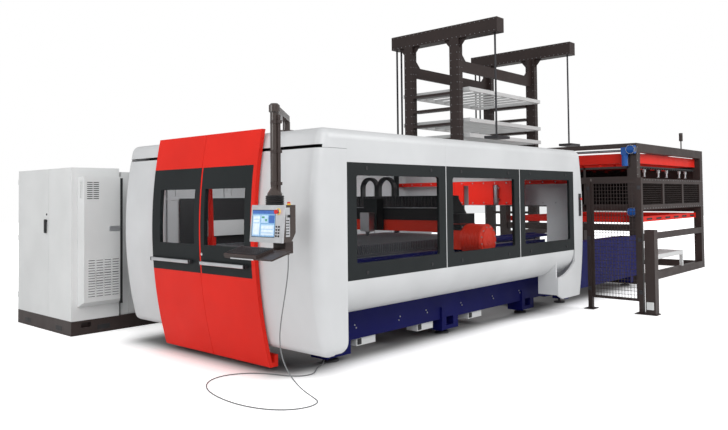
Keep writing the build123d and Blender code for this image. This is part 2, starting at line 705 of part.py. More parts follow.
def cabin_frame():
    """Square tubes that carry the panels on outriggers from the bed, and the door rail."""
    tubes = []
    portals = (FRONT_SEAM_X - TUBE / 2, *BAY_SPLIT_XS, REAR_SEAM_X + TUBE / 2)
    beam_z = (CABIN_TOP_Z - EDGE_RADIUS - TUBE, CABIN_TOP_Z - EDGE_RADIUS)
    sill_z = (BAND_BOTTOM_Z - TUBE, BAND_BOTTOM_Z)
    near_y = span(CABIN_NEAR_Y + SKIN, TUBE)
    sill_y = (CABIN_NEAR_Y + SILL_INSET, CABIN_NEAR_Y + SKIN + TUBE)
    for number, centre in enumerate(portals):
        x = (centre - TUBE / 2, centre + TUBE / 2)
        low_z = FRONT_BOTTOM_Z + SKIN if number == 0 else BAND_BOTTOM_Z
        post = block(x, near_y, (low_z, beam_z[0]))
        arm_y0 = near_y[1] if number == 0 else CABIN_NEAR_Y + OUTRIGGER_INSET
        arm = block(x, (arm_y0, BED_NEAR_Y), (sill_z[0] - TUBE, sill_z[0]))
        tubes += [post, across(post), arm, across(arm)]
        tubes.append(block(x, (near_y[0], CABIN_FAR_Y - SKIN), beam_z))
    for before, after in zip(portals[:-1], portals[1:]):
        x = (before + TUBE / 2, after - TUBE / 2)
        rail = block(x, near_y, beam_z)
        tubes += [rail, across(rail)]
    sill = block((portals[0] + TUBE / 2, portals[-1] + TUBE / 2), sill_y, sill_z)
    tubes += [sill, across(sill)]
    rail_top = GROOVE_Z - HANGER_THICKNESS / 2 - TOUCH_GAP
    rail_z = (rail_top - RAIL_BAR[1], rail_top)
    rail_x = span(RAIL_FRONT_X, RAIL_BAR[0])
    toe_x = bow_x(FRONT_APEX_X, SHELL_BOW_RADIUS, FRONT_BOTTOM_Z) + FRONT_TOE_WIDTH
    inside_y = (near_y[1] - TUBE / 3, CABIN_FAR_Y + CABIN_NEAR_Y - near_y[1] + TUBE / 3)
    sill_bar_z = span(FRONT_BOTTOM_Z + SKIN, TUBE)
    post_x = portals[0] - TUBE / 2
    tubes.append(block(rail_x, inside_y, rail_z))
    tubes.append(block((toe_x - TUBE, toe_x), inside_y, sill_bar_z))
    for z, x0 in ((rail_z, rail_x[1]), (sill_bar_z, toe_x)):
        bracket = block((x0, post_x), (near_y[0] + TUBE / 3, near_y[1]), z)
        tubes += [bracket, across(bracket)]
    return group(tubes)


def rear_gate():
    """Row of plates that hang over the pallet's way out."""
    header_z = (GATE_TOP_Z, GATE_TOP_Z + TUBE)
    header = block(span(GATE_X, TUBE), (CABIN_NEAR_Y + SKIN, CABIN_FAR_Y - SKIN), header_z)
    plates = [header]
    for number in range(GATE_PLATES):
        y0 = CABIN_MID_Y + (number - GATE_PLATES / 2) * GATE_PLATE_PITCH
        plates.append(block(span(GATE_X, GATE_THICKNESS), span(y0, GATE_PLATE_WIDTH),
                            (GATE_BOTTOM_Z, GATE_TOP_Z)))
    return Part() + plates


def button_strip():
    """Bare strip with a collar for the stop button and two small caps."""
    y1 = CABIN_NEAR_Y
    strip = block(span(STRIP_X, STRIP_WIDTH), (y1 - STRIP_THICKNESS, y1), span(STRIP_Z, STRIP_HEIGHT))
    middle_x = STRIP_X + STRIP_WIDTH / 2
    strip -= stud_y(middle_x, y1 + 1, strip_stop_z(), STOP_NECK_RADIUS + TOUCH_GAP, STRIP_THICKNESS + 2)
    caps = []
    for drop in STRIP_CAP_DROPS:
        caps.append(stud_y(middle_x, y1 - STRIP_THICKNESS, STRIP_Z + STRIP_HEIGHT - drop, *STRIP_CAP))
    return Part() + [strip, *caps]


def stud_y(x, y, z, radius, length):
    """Round stud that stands out of a face towards -Y."""
    return prism_y(Pos(x, z) * Circle(radius), y - length, y)


def strip_stop_z():
    """Height of the stop button on the strip."""
    return STRIP_Z + STRIP_HEIGHT - STRIP_STOP_DROP


def strip_stop():
    """Mushroom button whose neck sits in the strip's bore, held off it by its stroke."""
    y = CABIN_NEAR_Y - STRIP_THICKNESS
    x = STRIP_X + STRIP_WIDTH / 2
    head_y = y - STOP_STROKE - 2 * TOUCH_GAP
    neck = stud_y(x, y + STOP_NECK_DEPTH, strip_stop_z(), STOP_NECK_RADIUS, y + STOP_NECK_DEPTH - head_y)
    return neck + stud_y(x, head_y, strip_stop_z(), STOP_RADIUS, STOP_HEIGHT - STOP_STROKE)


# Bed


def leg_block(foot_x):
    """Leg block with a pocket for a fork, as three plates round the pocket, and a fin beside it."""
    y = (BED_NEAR_Y, BED_NEAR_Y + BED_BOX_WIDTH)
    x0, x1 = span(foot_x + LEG_BLOCK_START, LEG_BLOCK_LENGTH)
    hole_x = span(foot_x + FORK_POCKET_START, FORK_POCKET_LENGTH)
    low_z = (LEG_BLOCK_BOTTOM_Z, BED_BOTTOM_Z)
    sides = [block((x0, hole_x[0]), y, low_z), block((hole_x[1], x1), y, low_z)]
    floor = block(hole_x, y, (LEG_BLOCK_BOTTOM_Z, FORK_POCKET_BOTTOM_Z))
    fin = block((x0, x0 + LEG_FIN_THICKNESS), (BED_NEAR_Y - LEG_FIN_PROUD, BED_NEAR_Y),
                (LEG_BLOCK_BOTTOM_Z, LEG_FIN_TOP_Z))
    return [*sides, floor, fin]


def bed_frame():
    """Bed: two box beams with upright walls and runners, cross members and leg blocks."""
    wall = BED_NEAR_Y + BED_WALL_WIDTH
    box = BED_NEAR_Y + BED_BOX_WIDTH
    x = (BED_START_X, BED_END_X)
    box_top = BED_BOTTOM_Z + BED_BOX_HEIGHT
    ledge_y = (wall, PALLET_NEAR_Y + PALLET_RAIL_WIDTH)
    beam = block(x, (BED_NEAR_Y, box), (BED_BOTTOM_Z, box_top))
    for foot_x in FOOT_XS:
        pocket_x = span(foot_x + FORK_POCKET_START, FORK_POCKET_LENGTH)
        pocket_z = span(FORK_POCKET_BOTTOM_Z, FORK_POCKET_HEIGHT)
        beam -= block(pocket_x, (BED_NEAR_Y - 1, box + 1), pocket_z)
    side = [beam, block(x, (BED_NEAR_Y, wall), (box_top, BED_TOP_Z)),
            block(x, ledge_y, (RUNNER_TOP_Z - RUNNER_DEPTH, RUNNER_TOP_Z))]
    for foot_x in FOOT_XS:
        side += leg_block(foot_x)
    members = side + [across(member) for member in side]
    for x0 in BED_CROSS_XS:
        members.append(block(span(x0, BED_CROSS_LENGTH), (box, BED_FAR_Y - BED_BOX_WIDTH),
                             span(BED_BOTTOM_Z, BED_CROSS_HEIGHT)))
    return group(members)


def levelling_feet():
    """Round pads with spindles under the leg blocks and the table's legs."""
    pad = Cylinder(FOOT_PAD_RADIUS, FOOT_PAD_HEIGHT, align=(Align.CENTER, Align.CENTER, Align.MIN))
    pad = chamfer(pad.edges().group_by(Axis.Z)[-1], FOOT_PAD_HEIGHT / 3)
    spindle = Cylinder(FOOT_SPINDLE_RADIUS, LEG_BLOCK_BOTTOM_Z - FOOT_PAD_HEIGHT,
                       align=(Align.CENTER, Align.CENTER, Align.MIN))
    foot = pad + Pos(0, 0, FOOT_PAD_HEIGHT) * spindle
    xs = (*FOOT_XS, *TABLE_LEG_XS)
    return group([Pos(x, y, 0) * foot for x in xs for y in (0.0, 2 * CABIN_MID_Y)])


def scrap_drawers():
    """Open-topped drawers that hang under the bed's near beam."""
    length, depth, height = DRAWER_SIZE
    drawers = []
    for x0 in DRAWER_XS:
        y0 = BED_NEAR_Y + SKIN
        tray = block(span(x0, length), span(y0, depth), (BED_BOTTOM_Z - height, BED_BOTTOM_Z))
        hollow_x = (x0 + DRAWER_WALL, x0 + length - DRAWER_WALL)
        hollow_y = (y0 + DRAWER_WALL, y0 + depth - DRAWER_WALL)
        hollow = block(hollow_x, hollow_y, (BED_BOTTOM_Z - height + DRAWER_WALL, BED_BOTTOM_Z + 1))
        drawers.append(tray - hollow)
    return group(drawers)


def guide_rails():
    """Linear rails on top of the bed walls."""
    y0 = BED_NEAR_Y + (BED_WALL_WIDTH - RAIL_WIDTH) / 2
    rail = block((BED_START_X, BED_END_X - TUBE), span(y0, RAIL_WIDTH), span(BED_TOP_Z, RAIL_HEIGHT))
    return group([rail, across(rail)])


# Pallet and shuttle table


def pallet_frame():
    """Ladder frame that runs on the bed's and the table's runners."""
    z = (RUNNER_TOP_Z + TOUCH_GAP, SLAT_BOTTOM_Z)
    x = span(PALLET_START_X, PALLET_LENGTH)
    rail = block(x, span(PALLET_NEAR_Y, PALLET_RAIL_WIDTH), z)
    members = [rail, across(rail)]
    inner_y = (PALLET_NEAR_Y + PALLET_RAIL_WIDTH, PALLET_FAR_Y - PALLET_RAIL_WIDTH)
    for x0 in (x[0], (x[0] + x[1] - PALLET_RAIL_WIDTH) / 2, x[1] - PALLET_RAIL_WIDTH):
        members.append(block(span(x0, PALLET_RAIL_WIDTH), inner_y, z))
    return group(members)


def pallet_slats():
    """Upright slats across the pallet, held by a comb strip along each rail."""
    count = round(PALLET_LENGTH / SLAT_PITCH) - 1
    first = PALLET_START_X + (PALLET_LENGTH - (count - 1) * SLAT_PITCH) / 2
    slats = Part()
    z = span(SLAT_BOTTOM_Z, SLAT_HEIGHT)
    comb_z = (z[0], z[0] + SLAT_HEIGHT / 4)
    for y0 in (PALLET_NEAR_Y, PALLET_FAR_Y - SLAT_THICKNESS):
        slats += block(span(PALLET_START_X, PALLET_LENGTH), span(y0, SLAT_THICKNESS), comb_z)
    blades = [block(span(first + n * SLAT_PITCH, SLAT_THICKNESS), (PALLET_NEAR_Y, PALLET_FAR_Y), z)
              for n in range(count)]
    return slats + blades


def table_frame():
    """Table outside the cabin that takes the pallet: base beams, sides and runners."""
    box = BED_NEAR_Y + BED_BOX_WIDTH
    side_in = BED_NEAR_Y + TABLE_SIDE_THICKNESS
    start = REAR_APEX_X + SEAM_GAP
    ledge_y = (side_in, PALLET_NEAR_Y + PALLET_RAIL_WIDTH)
    x = (start, TABLE_END_X)
    side = [block((BED_END_X, TABLE_END_X), (BED_NEAR_Y, box), (TABLE_BASE_BOTTOM_Z, TABLE_BASE_TOP_Z)),
            block(x, (BED_NEAR_Y, side_in), (TABLE_BASE_TOP_Z, TABLE_SIDE_TOP_Z)),
            block(x, ledge_y, (RUNNER_TOP_Z - RUNNER_DEPTH, RUNNER_TOP_Z))]
    for leg_x in TABLE_LEG_XS:
        side.append(block((leg_x - TUBE, leg_x + TUBE), (BED_NEAR_Y, box),
                          (LEG_BLOCK_BOTTOM_Z, TABLE_BASE_BOTTOM_Z)))
    members = side + [across(member) for member in side]
    for x0 in (start, TABLE_END_X - BED_CROSS_LENGTH):
        members.append(block(span(x0, BED_CROSS_LENGTH), (box, BED_FAR_Y - BED_BOX_WIDTH),
                             (TABLE_BASE_BOTTOM_Z, TABLE_BASE_TOP_Z)))
    return group(members)


# Bridge, carriage and cutting head


def bridge_beam():
    """Box beam across the bed with a shoe at each end that stands on the rail."""
    x = (BRIDGE_X - BRIDGE_DEPTH / 2, BRIDGE_X + BRIDGE_DEPTH / 2)
    far = BED_FAR_Y
    beam = block(x, (BED_NEAR_Y, far), (BRIDGE_BOTTOM_Z, BRIDGE_TOP_Z))
    shoe_z = (BED_TOP_Z + RAIL_HEIGHT + TOUCH_GAP, BRIDGE_BOTTOM_Z)
    shoe = block((x[0] - SHOE_OVERHANG, x[1] + SHOE_OVERHANG), span(BED_NEAR_Y, BED_WALL_WIDTH), shoe_z)
    slant_x = x[1] + CHEEK_REACH
    cheek = polygon((x[0], BRIDGE_TOP_Z), (x[0], BRIDGE_TOP_Z + COVER_HEIGHT),
                    (BRIDGE_X, BRIDGE_TOP_Z + COVER_HEIGHT), (slant_x, BRIDGE_TOP_Z - CHEEK_DROP),
                    (slant_x, BRIDGE_BOTTOM_Z + CHEEK_RISE), (x[0], BRIDGE_BOTTOM_Z + CHEEK_RISE))
    end = prism_y(cheek, BED_NEAR_Y - SKIN, BED_NEAR_Y)
    return beam + shoe + across(shoe) + end + across(end)


def bridge_cover():
    """Folded cover band on top of the beam."""
    x0 = BRIDGE_X - BRIDGE_DEPTH / 2 - COVER_FOLD_DEPTH
    x1 = x0 + COVER_DEPTH
    y0 = BED_NEAR_Y + TOUCH_GAP
    folds = int((BED_FAR_Y - TOUCH_GAP - y0) // COVER_FOLD)
    pitch = (BED_FAR_Y - TOUCH_GAP - y0) / folds
    front = [(x0, y0)]
    for n in range(folds):
        front.append((x0 + COVER_FOLD_DEPTH, y0 + (n + 0.5) * pitch))
        front.append((x0, y0 + (n + 1) * pitch))
    outline = polygon(*front, (x1, front[-1][1]), (x1, y0))
    return prism_z(outline, BRIDGE_TOP_Z + TOUCH_GAP, BRIDGE_TOP_Z + COVER_HEIGHT)


def drive_housing():
    """Round housing of the drive at the bridge's near end, with its mounting block."""
    y1 = BED_NEAR_Y - SKIN
    y0 = y1 - DRIVE_LENGTH
    drum = prism_y(Pos(BRIDGE_X, DRIVE_Z) * Circle(DRIVE_RADIUS), y0, y1 - DRIVE_LENGTH / 3)
    rim = near_edges(drum, lambda e: e.geom_type == GeomType.CIRCLE, lambda c: c.Y < y0 + 1)
    drum = chamfer(rim, DRIVE_EDGE)
    half = DRIVE_RADIUS - DRIVE_FOOT_INSET
    foot = block((BRIDGE_X - half, BRIDGE_X + half), (y1 - DRIVE_LENGTH / 3, y1),
                 (BED_TOP_Z + RAIL_HEIGHT, BRIDGE_TOP_Z - CHEEK_RISE))
    return drum + foot


def cable_chains():
    """Two chain loops that stand over the beam, link by link."""
    loops = []
    base_z = BRIDGE_TOP_Z + COVER_HEIGHT
    x0 = BRIDGE_X - CHAIN_LINK_WIDTH / 2
    step = 180.0 / CHAIN_ARC_LINKS
    link_length = 2 * (CHAIN_ARC_RADIUS + CHAIN_LINK_HEIGHT / 2) * tan(radians(step / 2))
    link = Box(CHAIN_LINK_WIDTH, CHAIN_LINK_HEIGHT, link_length)
    for centre_y in CHAIN_YS:
        centre_z = base_z + CHAIN_LEG
        loop = Part()
        for n in range(CHAIN_ARC_LINKS):
            angle = step * (n + 0.5)
            place = Pos(BRIDGE_X, centre_y, centre_z) * Rot(angle, 0, 0) * Pos(0, CHAIN_ARC_RADIUS, 0)
            loop += place * link
        for side in (-1, 1):
            leg_y = centre_y + side * CHAIN_ARC_RADIUS - CHAIN_LINK_HEIGHT / 2
            loop += block(span(x0, CHAIN_LINK_WIDTH), span(leg_y, CHAIN_LINK_HEIGHT),
                          (base_z, centre_z))
        loops.append(loop)
    return group(loops)


def carriage():
    """Block that runs along the beam's front, under the cover band."""
    x1 = BRIDGE_X - BRIDGE_DEPTH / 2 - COVER_FOLD_DEPTH - TOUCH_GAP
    y = (CARRIAGE_Y - CARRIAGE_WIDTH / 2, CARRIAGE_Y + CARRIAGE_WIDTH / 2)
    low, high = CARRIAGE_MARGINS
    body = block((x1 - CARRIAGE_DEPTH, x1), y, (BRIDGE_BOTTOM_Z + low, BRIDGE_TOP_Z + COVER_HEIGHT - high))
    inset_y, inset_z = TONGUE_INSET
    tongue = block((x1, x1 + COVER_FOLD_DEPTH), (y[0] + inset_y, y[1] - inset_y),
                   (BRIDGE_BOTTOM_Z + inset_z, BRIDGE_TOP_Z - inset_z))
    return body + tongue


def cutting_head():
    """Head that slides up and down in front of the carriage, with its nozzle."""
    x1 = (BRIDGE_X - BRIDGE_DEPTH / 2 - COVER_FOLD_DEPTH - CARRIAGE_DEPTH - 2 * TOUCH_GAP)
    y = (CARRIAGE_Y - HEAD_WIDTH / 2, CARRIAGE_Y + HEAD_WIDTH / 2)
    body = block((x1 - HEAD_DEPTH, x1), y, (HEAD_BOTTOM_Z, HEAD_TOP_Z))
    centre = Pos(x1 - HEAD_DEPTH / 2, CARRIAGE_Y, (HEAD_BOTTOM_Z + NOZZLE_TIP_Z) / 2)
    nozzle = centre * Cone(NOZZLE_RADIUS / 4, NOZZLE_RADIUS, HEAD_BOTTOM_Z - NOZZLE_TIP_Z)
    return body + nozzle


# Sliding doors


def leaf_span(side):
    """Y range of a closed leaf; side is 1 for the left leaf and -1 for the right one."""
    inner = DOOR_SPLIT_Y + side * DOOR_SPLIT_GAP / 2
    outer = DOOR_SPLIT_Y + side * DOOR_LEAF_WIDTH
    return (min(inner, outer), max(inner, outer))


def band_span(side):
    """Y range of the dark band; on the right leaf a border is left beside it."""
    y0, y1 = leaf_span(side)
    return (y0, y1) if side > 0 else (y0 + DOOR_BAND_BORDER, y1 - DOOR_SPLIT_BORDER)


def glass_span(side, shrink=0.0):
    """Y range of a leaf's glass."""
    inner = DOOR_SPLIT_Y + side * DOOR_GLASS_FROM_SPLIT
    outer = inner + side * DOOR_GLASS_WIDTH
    return (min(inner, outer) + shrink, max(inner, outer) - shrink)


def glass_hole(side, grow=0.0):
    """Block that cuts the window through a leaf or its band."""
    return block((DOOR_APEX_X - DOOR_THICKNESS, DOOR_APEX_X + 3 * DOOR_THICKNESS), glass_span(side, -grow),
                 (DOOR_GLASS_BOTTOM_Z - grow, DOOR_GLASS_TOP_Z + grow))


def door_leaf(side):
    """Bowed leaf with a hooked foot and two hangers that reach through the groove."""
    wall = bow_arc(DOOR_APEX_X, DOOR_BOW_RADIUS, DOOR_BOTTOM_Z, DOOR_TOP_Z)
    floor_z = DOOR_BOTTOM_Z + DOOR_LIP_FLOOR
    back = bow_arc(DOOR_APEX_X, DOOR_BOW_RADIUS, floor_z, DOOR_TOP_Z, DOOR_THICKNESS)
    lip_back = bow_x(DOOR_APEX_X, DOOR_BOW_RADIUS, DOOR_BOTTOM_Z) + DOOR_LIP_REACH
    lip_front = lip_back - DOOR_LIP_WALL
    hook = Polyline(back @ 0, (lip_front, floor_z), (lip_front, DOOR_LIP_TOP_Z),
                    (lip_back, DOOR_LIP_TOP_Z), (lip_back, DOOR_BOTTOM_Z), wall @ 0)
    section = make_face([wall, Line(wall @ 1, back @ 1), back, *hook.edges()])
    toe = [v for v in section.vertices() if v.Y < DOOR_BOTTOM_Z + 1 and v.X < lip_front]
    section = fillet(toe, DOOR_FOOT_RADIUS)
    y0, y1 = leaf_span(side)
    leaf = prism_y(section, y0, y1)
    recess = bow_strip(DOOR_APEX_X, DOOR_BOW_RADIUS, DOOR_BAND_DEPTH + 5, DOOR_BAND_BOTTOM_Z,
                       DOOR_BAND_TOP_Z, -5)
    leaf -= prism_y(recess, *band_span(side))
    leaf -= glass_hole(side, DOOR_REVEAL)
    hanger_z = (GROOVE_Z - HANGER_THICKNESS / 2, GROOVE_Z + HANGER_THICKNESS / 2)
    hanger_x = (bow_x(DOOR_APEX_X, DOOR_BOW_RADIUS, GROOVE_Z) + DOOR_THICKNESS / 2,
                RAIL_FRONT_X + RAIL_BAR[0])
    for offset in (-HANGER_OFFSET, HANGER_OFFSET):
        middle = (y0 + y1) / 2 + offset
        leaf += block(hanger_x, (middle - HANGER_WIDTH / 2, middle + HANGER_WIDTH / 2), hanger_z)
    return leaf


def door_band(side):
    """Dark panel let into the leaf, with a reveal through the leaf round its glass."""
    strip = bow_strip(DOOR_APEX_X, DOOR_BOW_RADIUS, DOOR_BAND_DEPTH - TOUCH_GAP,
                      DOOR_BAND_BOTTOM_Z + TOUCH_GAP, DOOR_BAND_TOP_Z - TOUCH_GAP)
    y0, y1 = band_span(side)
    rim = DOOR_REVEAL - TOUCH_GAP
    reveal = bow_strip(DOOR_APEX_X, DOOR_BOW_RADIUS, DOOR_THICKNESS, DOOR_GLASS_BOTTOM_Z - rim,
                       DOOR_GLASS_TOP_Z + rim)
    band = prism_y(strip, y0 + TOUCH_GAP, y1 - TOUCH_GAP) + prism_y(reveal, *glass_span(side, -rim))
    return band - glass_hole(side)


def door_glass(side):
    pane = bow_strip(DOOR_APEX_X, DOOR_BOW_RADIUS, PANE_THICKNESS, DOOR_GLASS_BOTTOM_Z + PANE_FIT,
                     DOOR_GLASS_TOP_Z - PANE_FIT, DOOR_GLASS_DEPTH)
    return prism_y(pane, *glass_span(side, PANE_FIT))


def door_handle(side):
    """Bar handle on two posts."""
    face_x = bow_x(DOOR_APEX_X, DOOR_BOW_RADIUS, HANDLE_Z + HANDLE_SECTION[1] / 2) - TOUCH_GAP
    bar_x = face_x - HANDLE_REACH
    bar_y = span(DOOR_SPLIT_Y + HANDLE_STARTS[0 if side > 0 else 1], HANDLE_LENGTH)
    bar = prism_y(Pos(bar_x, HANDLE_Z) * RectangleRounded(*HANDLE_SECTION, HANDLE_SECTION[0] / 3), *bar_y)
    for post_y in (bar_y[0] + HANDLE_POST_INSET, bar_y[1] - HANDLE_POST_INSET - HANDLE_POST):
        bar += block((bar_x, face_x), span(post_y, HANDLE_POST),
                     (HANDLE_Z - HANDLE_POST / 2, HANDLE_Z + HANDLE_POST / 2))
    return bar


# Operator panel


def arm_base():
    """Flanged neck bolted on the roof."""
    place = (ARM_BASE_X, ARM_BASE_Y)
    flange = standing(ARM_BASE_RADIUS, ARM_FLANGE_HEIGHT, *place, CABIN_TOP_Z)
    neck_height = ARM_BASE_HEIGHT - ARM_FLANGE_HEIGHT - TOUCH_GAP
    return flange + standing(ARM_NECK_RADIUS, neck_height, *place, CABIN_TOP_Z + ARM_FLANGE_HEIGHT)


def swivel_arm():
    """Arm from the roof neck to the dome over the mast."""
    angle = degrees(atan2(MAST_Y - ARM_BASE_Y, MAST_X - ARM_BASE_X))
    reach = sqrt((MAST_X - ARM_BASE_X) ** 2 + (MAST_Y - ARM_BASE_Y) ** 2)
    outline = SlotCenterToCenter(reach, ARM_WIDTH)
    start = Pos(ARM_BASE_X, ARM_BASE_Y, MAST_TOP_Z) * Rot(0, 0, angle)
    bar = start * Pos(reach / 2, 0, 0) * extrude(outline, amount=ARM_HEIGHT)
    arm = bar + standing(ARM_DOME_RADIUS, ARM_HEIGHT, MAST_X, MAST_Y, MAST_TOP_Z)
    return chamfer(arm.edges().group_by(Axis.Z)[-1], ARM_WIDTH / 4)


def mast():
    """Ribbed hanging tube that flares out over its bellows, and the bellows."""
    ribs = Circle(MAST_RADIUS)
    for number in range(4):
        ribs += Rot(0, 0, 90 * number + 45) * Pos(MAST_RADIUS, 0) * Rectangle(2 * MAST_RIB, MAST_RIB)
    tube = prism_z(Pos(MAST_X, MAST_Y) * ribs, MAST_BOTTOM_Z, MAST_TOP_Z - TOUCH_GAP)
    fold = BELLOWS_HEIGHT / BELLOWS_FOLDS
    top = PANEL_TOP_Z + BELLOWS_HEIGHT
    points = [(0, PANEL_TOP_Z)]
    for number in range(BELLOWS_FOLDS):
        points.append((BELLOWS_RADIUS - FOLD_DEPTH, PANEL_TOP_Z + number * fold))
        points.append((BELLOWS_RADIUS, PANEL_TOP_Z + (number + 0.5) * fold))
    points += [(BELLOWS_RADIUS - FOLD_DEPTH, top), (FLARE_RADIUS, top), (FLARE_RADIUS, top + FLARE_EDGE),
               (MAST_RADIUS, MAST_BOTTOM_Z), (0, MAST_BOTTOM_Z)]
    flare = revolve(Plane.XZ * polygon(*points), axis=Axis.Z)
    return tube + Pos(MAST_X, MAST_Y, 0) * flare


def panel_face_x(z):
    """X of the leaning panel face at height z."""
    return PANEL_FOOT_X + PANEL_LEAN * (z - PANEL_BOTTOM_Z) / (PANEL_TOP_Z - PANEL_BOTTOM_Z)


def leaning_plate(y, z, behind, depth):
    """Plate parallel to the panel face, its front a given distance behind the face."""
    low, high = panel_face_x(z[0]) + behind, panel_face_x(z[1]) + behind
    return prism_y(polygon((low, z[0]), (high, z[1]), (high + depth, z[1]), (low + depth, z[0])), *y)


def panel_span(inset=0.0):
    """Y range of the operator panel."""
    return (MAST_Y - PANEL_WIDTH / 2 + inset, MAST_Y + PANEL_WIDTH / 2 - inset)


def operator_panel():
    """Light bezel with a recess for the screen, the side plate, the stop's collar and the pilot lamp."""
    bezel = leaning_plate(panel_span(), (PANEL_BOTTOM_Z, PANEL_TOP_Z), 0.0, BEZEL_THICKNESS)
    bezel -= leaning_plate(*screen_place(), -1.0, SCREEN_DEPTH + TOUCH_GAP + 1.0)
    stop_x = panel_face_x(stop_place()[1])
    collar_x = (stop_x - STOP_COLLAR_HEIGHT, stop_x + STOP_COLLAR_HEIGHT)
    bezel += stud_x(*stop_place(), STOP_COLLAR_RADIUS, *collar_x)
    bezel -= stud_x(*stop_place(), STOP_NECK_RADIUS + TOUCH_GAP, collar_x[0] - 1, stop_x)
    length, thickness, height = SIDE_PLATE
    plate_x = span(panel_face_x(SIDE_PLATE_Z + height) + BEZEL_THICKNESS, length)
    plate_y = panel_span(HOUSING_INSET)[0]
    plate = block(plate_x, (plate_y - thickness, plate_y), span(SIDE_PLATE_Z, height))
    lamp = standing(PILOT_RADIUS, PILOT_HEIGHT, *PILOT_PLACE, PANEL_TOP_Z)
    return group([bezel, plate, lamp])


def panel_housing():
    """Dark housing behind the bezel, cut off at an angle at its lower back."""
    z = (PANEL_BOTTOM_Z + HOUSING_INSET, PANEL_TOP_Z)
    slope_x, slope_z = HOUSING_SLOPE
    front = [(panel_face_x(height) + BEZEL_THICKNESS, height) for height in z]
    section = polygon(*front, (HOUSING_BACK_X, z[1]), (HOUSING_BACK_X, z[0] + slope_z),
                      (HOUSING_BACK_X - slope_x, z[0]))
    return prism_y(section, *panel_span(HOUSING_INSET))


def screen_place():
    """Y and Z ranges of the screen in the panel's face."""
    y1 = panel_span()[1] - SCREEN_SIDE_MARGIN
    return (y1 - SCREEN_WIDTH, y1), span(PANEL_BOTTOM_Z + SCREEN_FOOT_MARGIN, SCREEN_HEIGHT)


def stop_place():
    """Y and Z of the stop button, beside the screen's upper corner."""
    (y0, _), (_, z1) = screen_place()
    return (y0 - STOP_FROM_SCREEN[0], z1 - STOP_FROM_SCREEN[1])


def stud_x(y, z, radius, x0, x1):
    """Round stud along X."""
    return prism_x(Pos(y, z) * Circle(radius), x0, x1)


def panel_screen():
    (y0, y1), (z0, z1) = screen_place()
    gap = TOUCH_GAP
    return leaning_plate((y0 + gap, y1 - gap), (z0 + gap, z1 - gap), 0.0, SCREEN_DEPTH)


def emergency_stop():
    """Mushroom button whose neck sits in its collar, held off it by its stroke."""
    x = panel_face_x(stop_place()[1]) - STOP_COLLAR_HEIGHT
    head_x = x - STOP_STROKE - 2 * TOUCH_GAP
    neck = stud_x(*stop_place(), STOP_NECK_RADIUS, head_x, x + STOP_NECK_DEPTH)
    return neck + stud_x(*stop_place(), STOP_RADIUS, x - STOP_HEIGHT, head_x)


def selector_knob():
    """Rotary switch on the side plate."""
    y = panel_span(HOUSING_INSET)[0] - SIDE_PLATE[1] - TOUCH_GAP
    x, z = SELECTOR_X, SELECTOR_Z
    knob = stud_y(x, y, z, KNOB_RADIUS, KNOB_HEIGHT)
    grip_y = (y - KNOB_HEIGHT - SELECTOR_GRIP, y - KNOB_HEIGHT)
    grip_x = (x - SELECTOR_GRIP / 2, x + SELECTOR_GRIP / 2)
    return knob + block(grip_x, grip_y, (z - KNOB_RADIUS, z + KNOB_RADIUS))


def tilted_slab(y, rise, depth, thickness):
    """Slab that lies on the tray's slope, its underside a given height above the tray's."""
    slab = block((0, depth), y, span(rise, thickness))
    return Pos(TRAY_FRONT[0], 0, TRAY_FRONT[1]) * Rot(0, -TRAY_TILT, 0) * slab


def keyboard_tray():
    """Sloping tray on its bracket and stem, the keyboard that lies on it and the cord's gland."""
    plate = tilted_slab(TRAY_Y, 0.0, TRAY_DEPTH, TRAY_THICKNESS)
    stem = block(STEM_X, STEM_Y, (STEM_BOTTOM_Z, PANEL_BOTTOM_Z + HOUSING_INSET))
    slope = tan(radians(TRAY_TILT))
    back_x = TRAY_FRONT[0] + 0.9 * TRAY_DEPTH
    back_z = TRAY_FRONT[1] + 0.9 * TRAY_DEPTH * slope + TRAY_THICKNESS / 2
    bracket = prism_y(polygon((back_x, back_z), (STEM_X[0], STEM_BOTTOM_Z + BRACKET_HEIGHT),
                              (STEM_X[0], STEM_BOTTOM_Z), (back_x, back_z - TRAY_THICKNESS)), *STEM_Y)
    gland_x, gland_y, gland_z = CORD_ROUTE[0]
    gland = standing(CORD_DIAMETER, STEM_BOTTOM_Z - gland_z, gland_x, gland_y, gland_z)
    board = tilted_slab(KEYBOARD_Y, TRAY_THICKNESS + TOUCH_GAP, KEYBOARD_DEPTH, KEYBOARD_THICKNESS)
    return group([plate + stem + bracket + gland, board])


def cord_radii():
    """Largest arc at each corner of the route that its two runs allow."""
    radii = []
    points = [Vector(*p) for p in CORD_ROUTE]
    for before, here, after in zip(points[:-2], points[1:-1], points[2:]):
        turn = radians((here - before).get_angle(after - here))
        shorter = min((here - before).length, (after - here).length)
        radii.append(0.45 * shorter / tan(turn / 2))
    return radii


def network_cord():
    path = FilletPolyline(*CORD_ROUTE, radius=cord_radii())
    start = Plane(origin=path @ 0, z_dir=path % 0)
    return sweep(start * Circle(CORD_DIAMETER / 2), path=path)


# Control cabinets


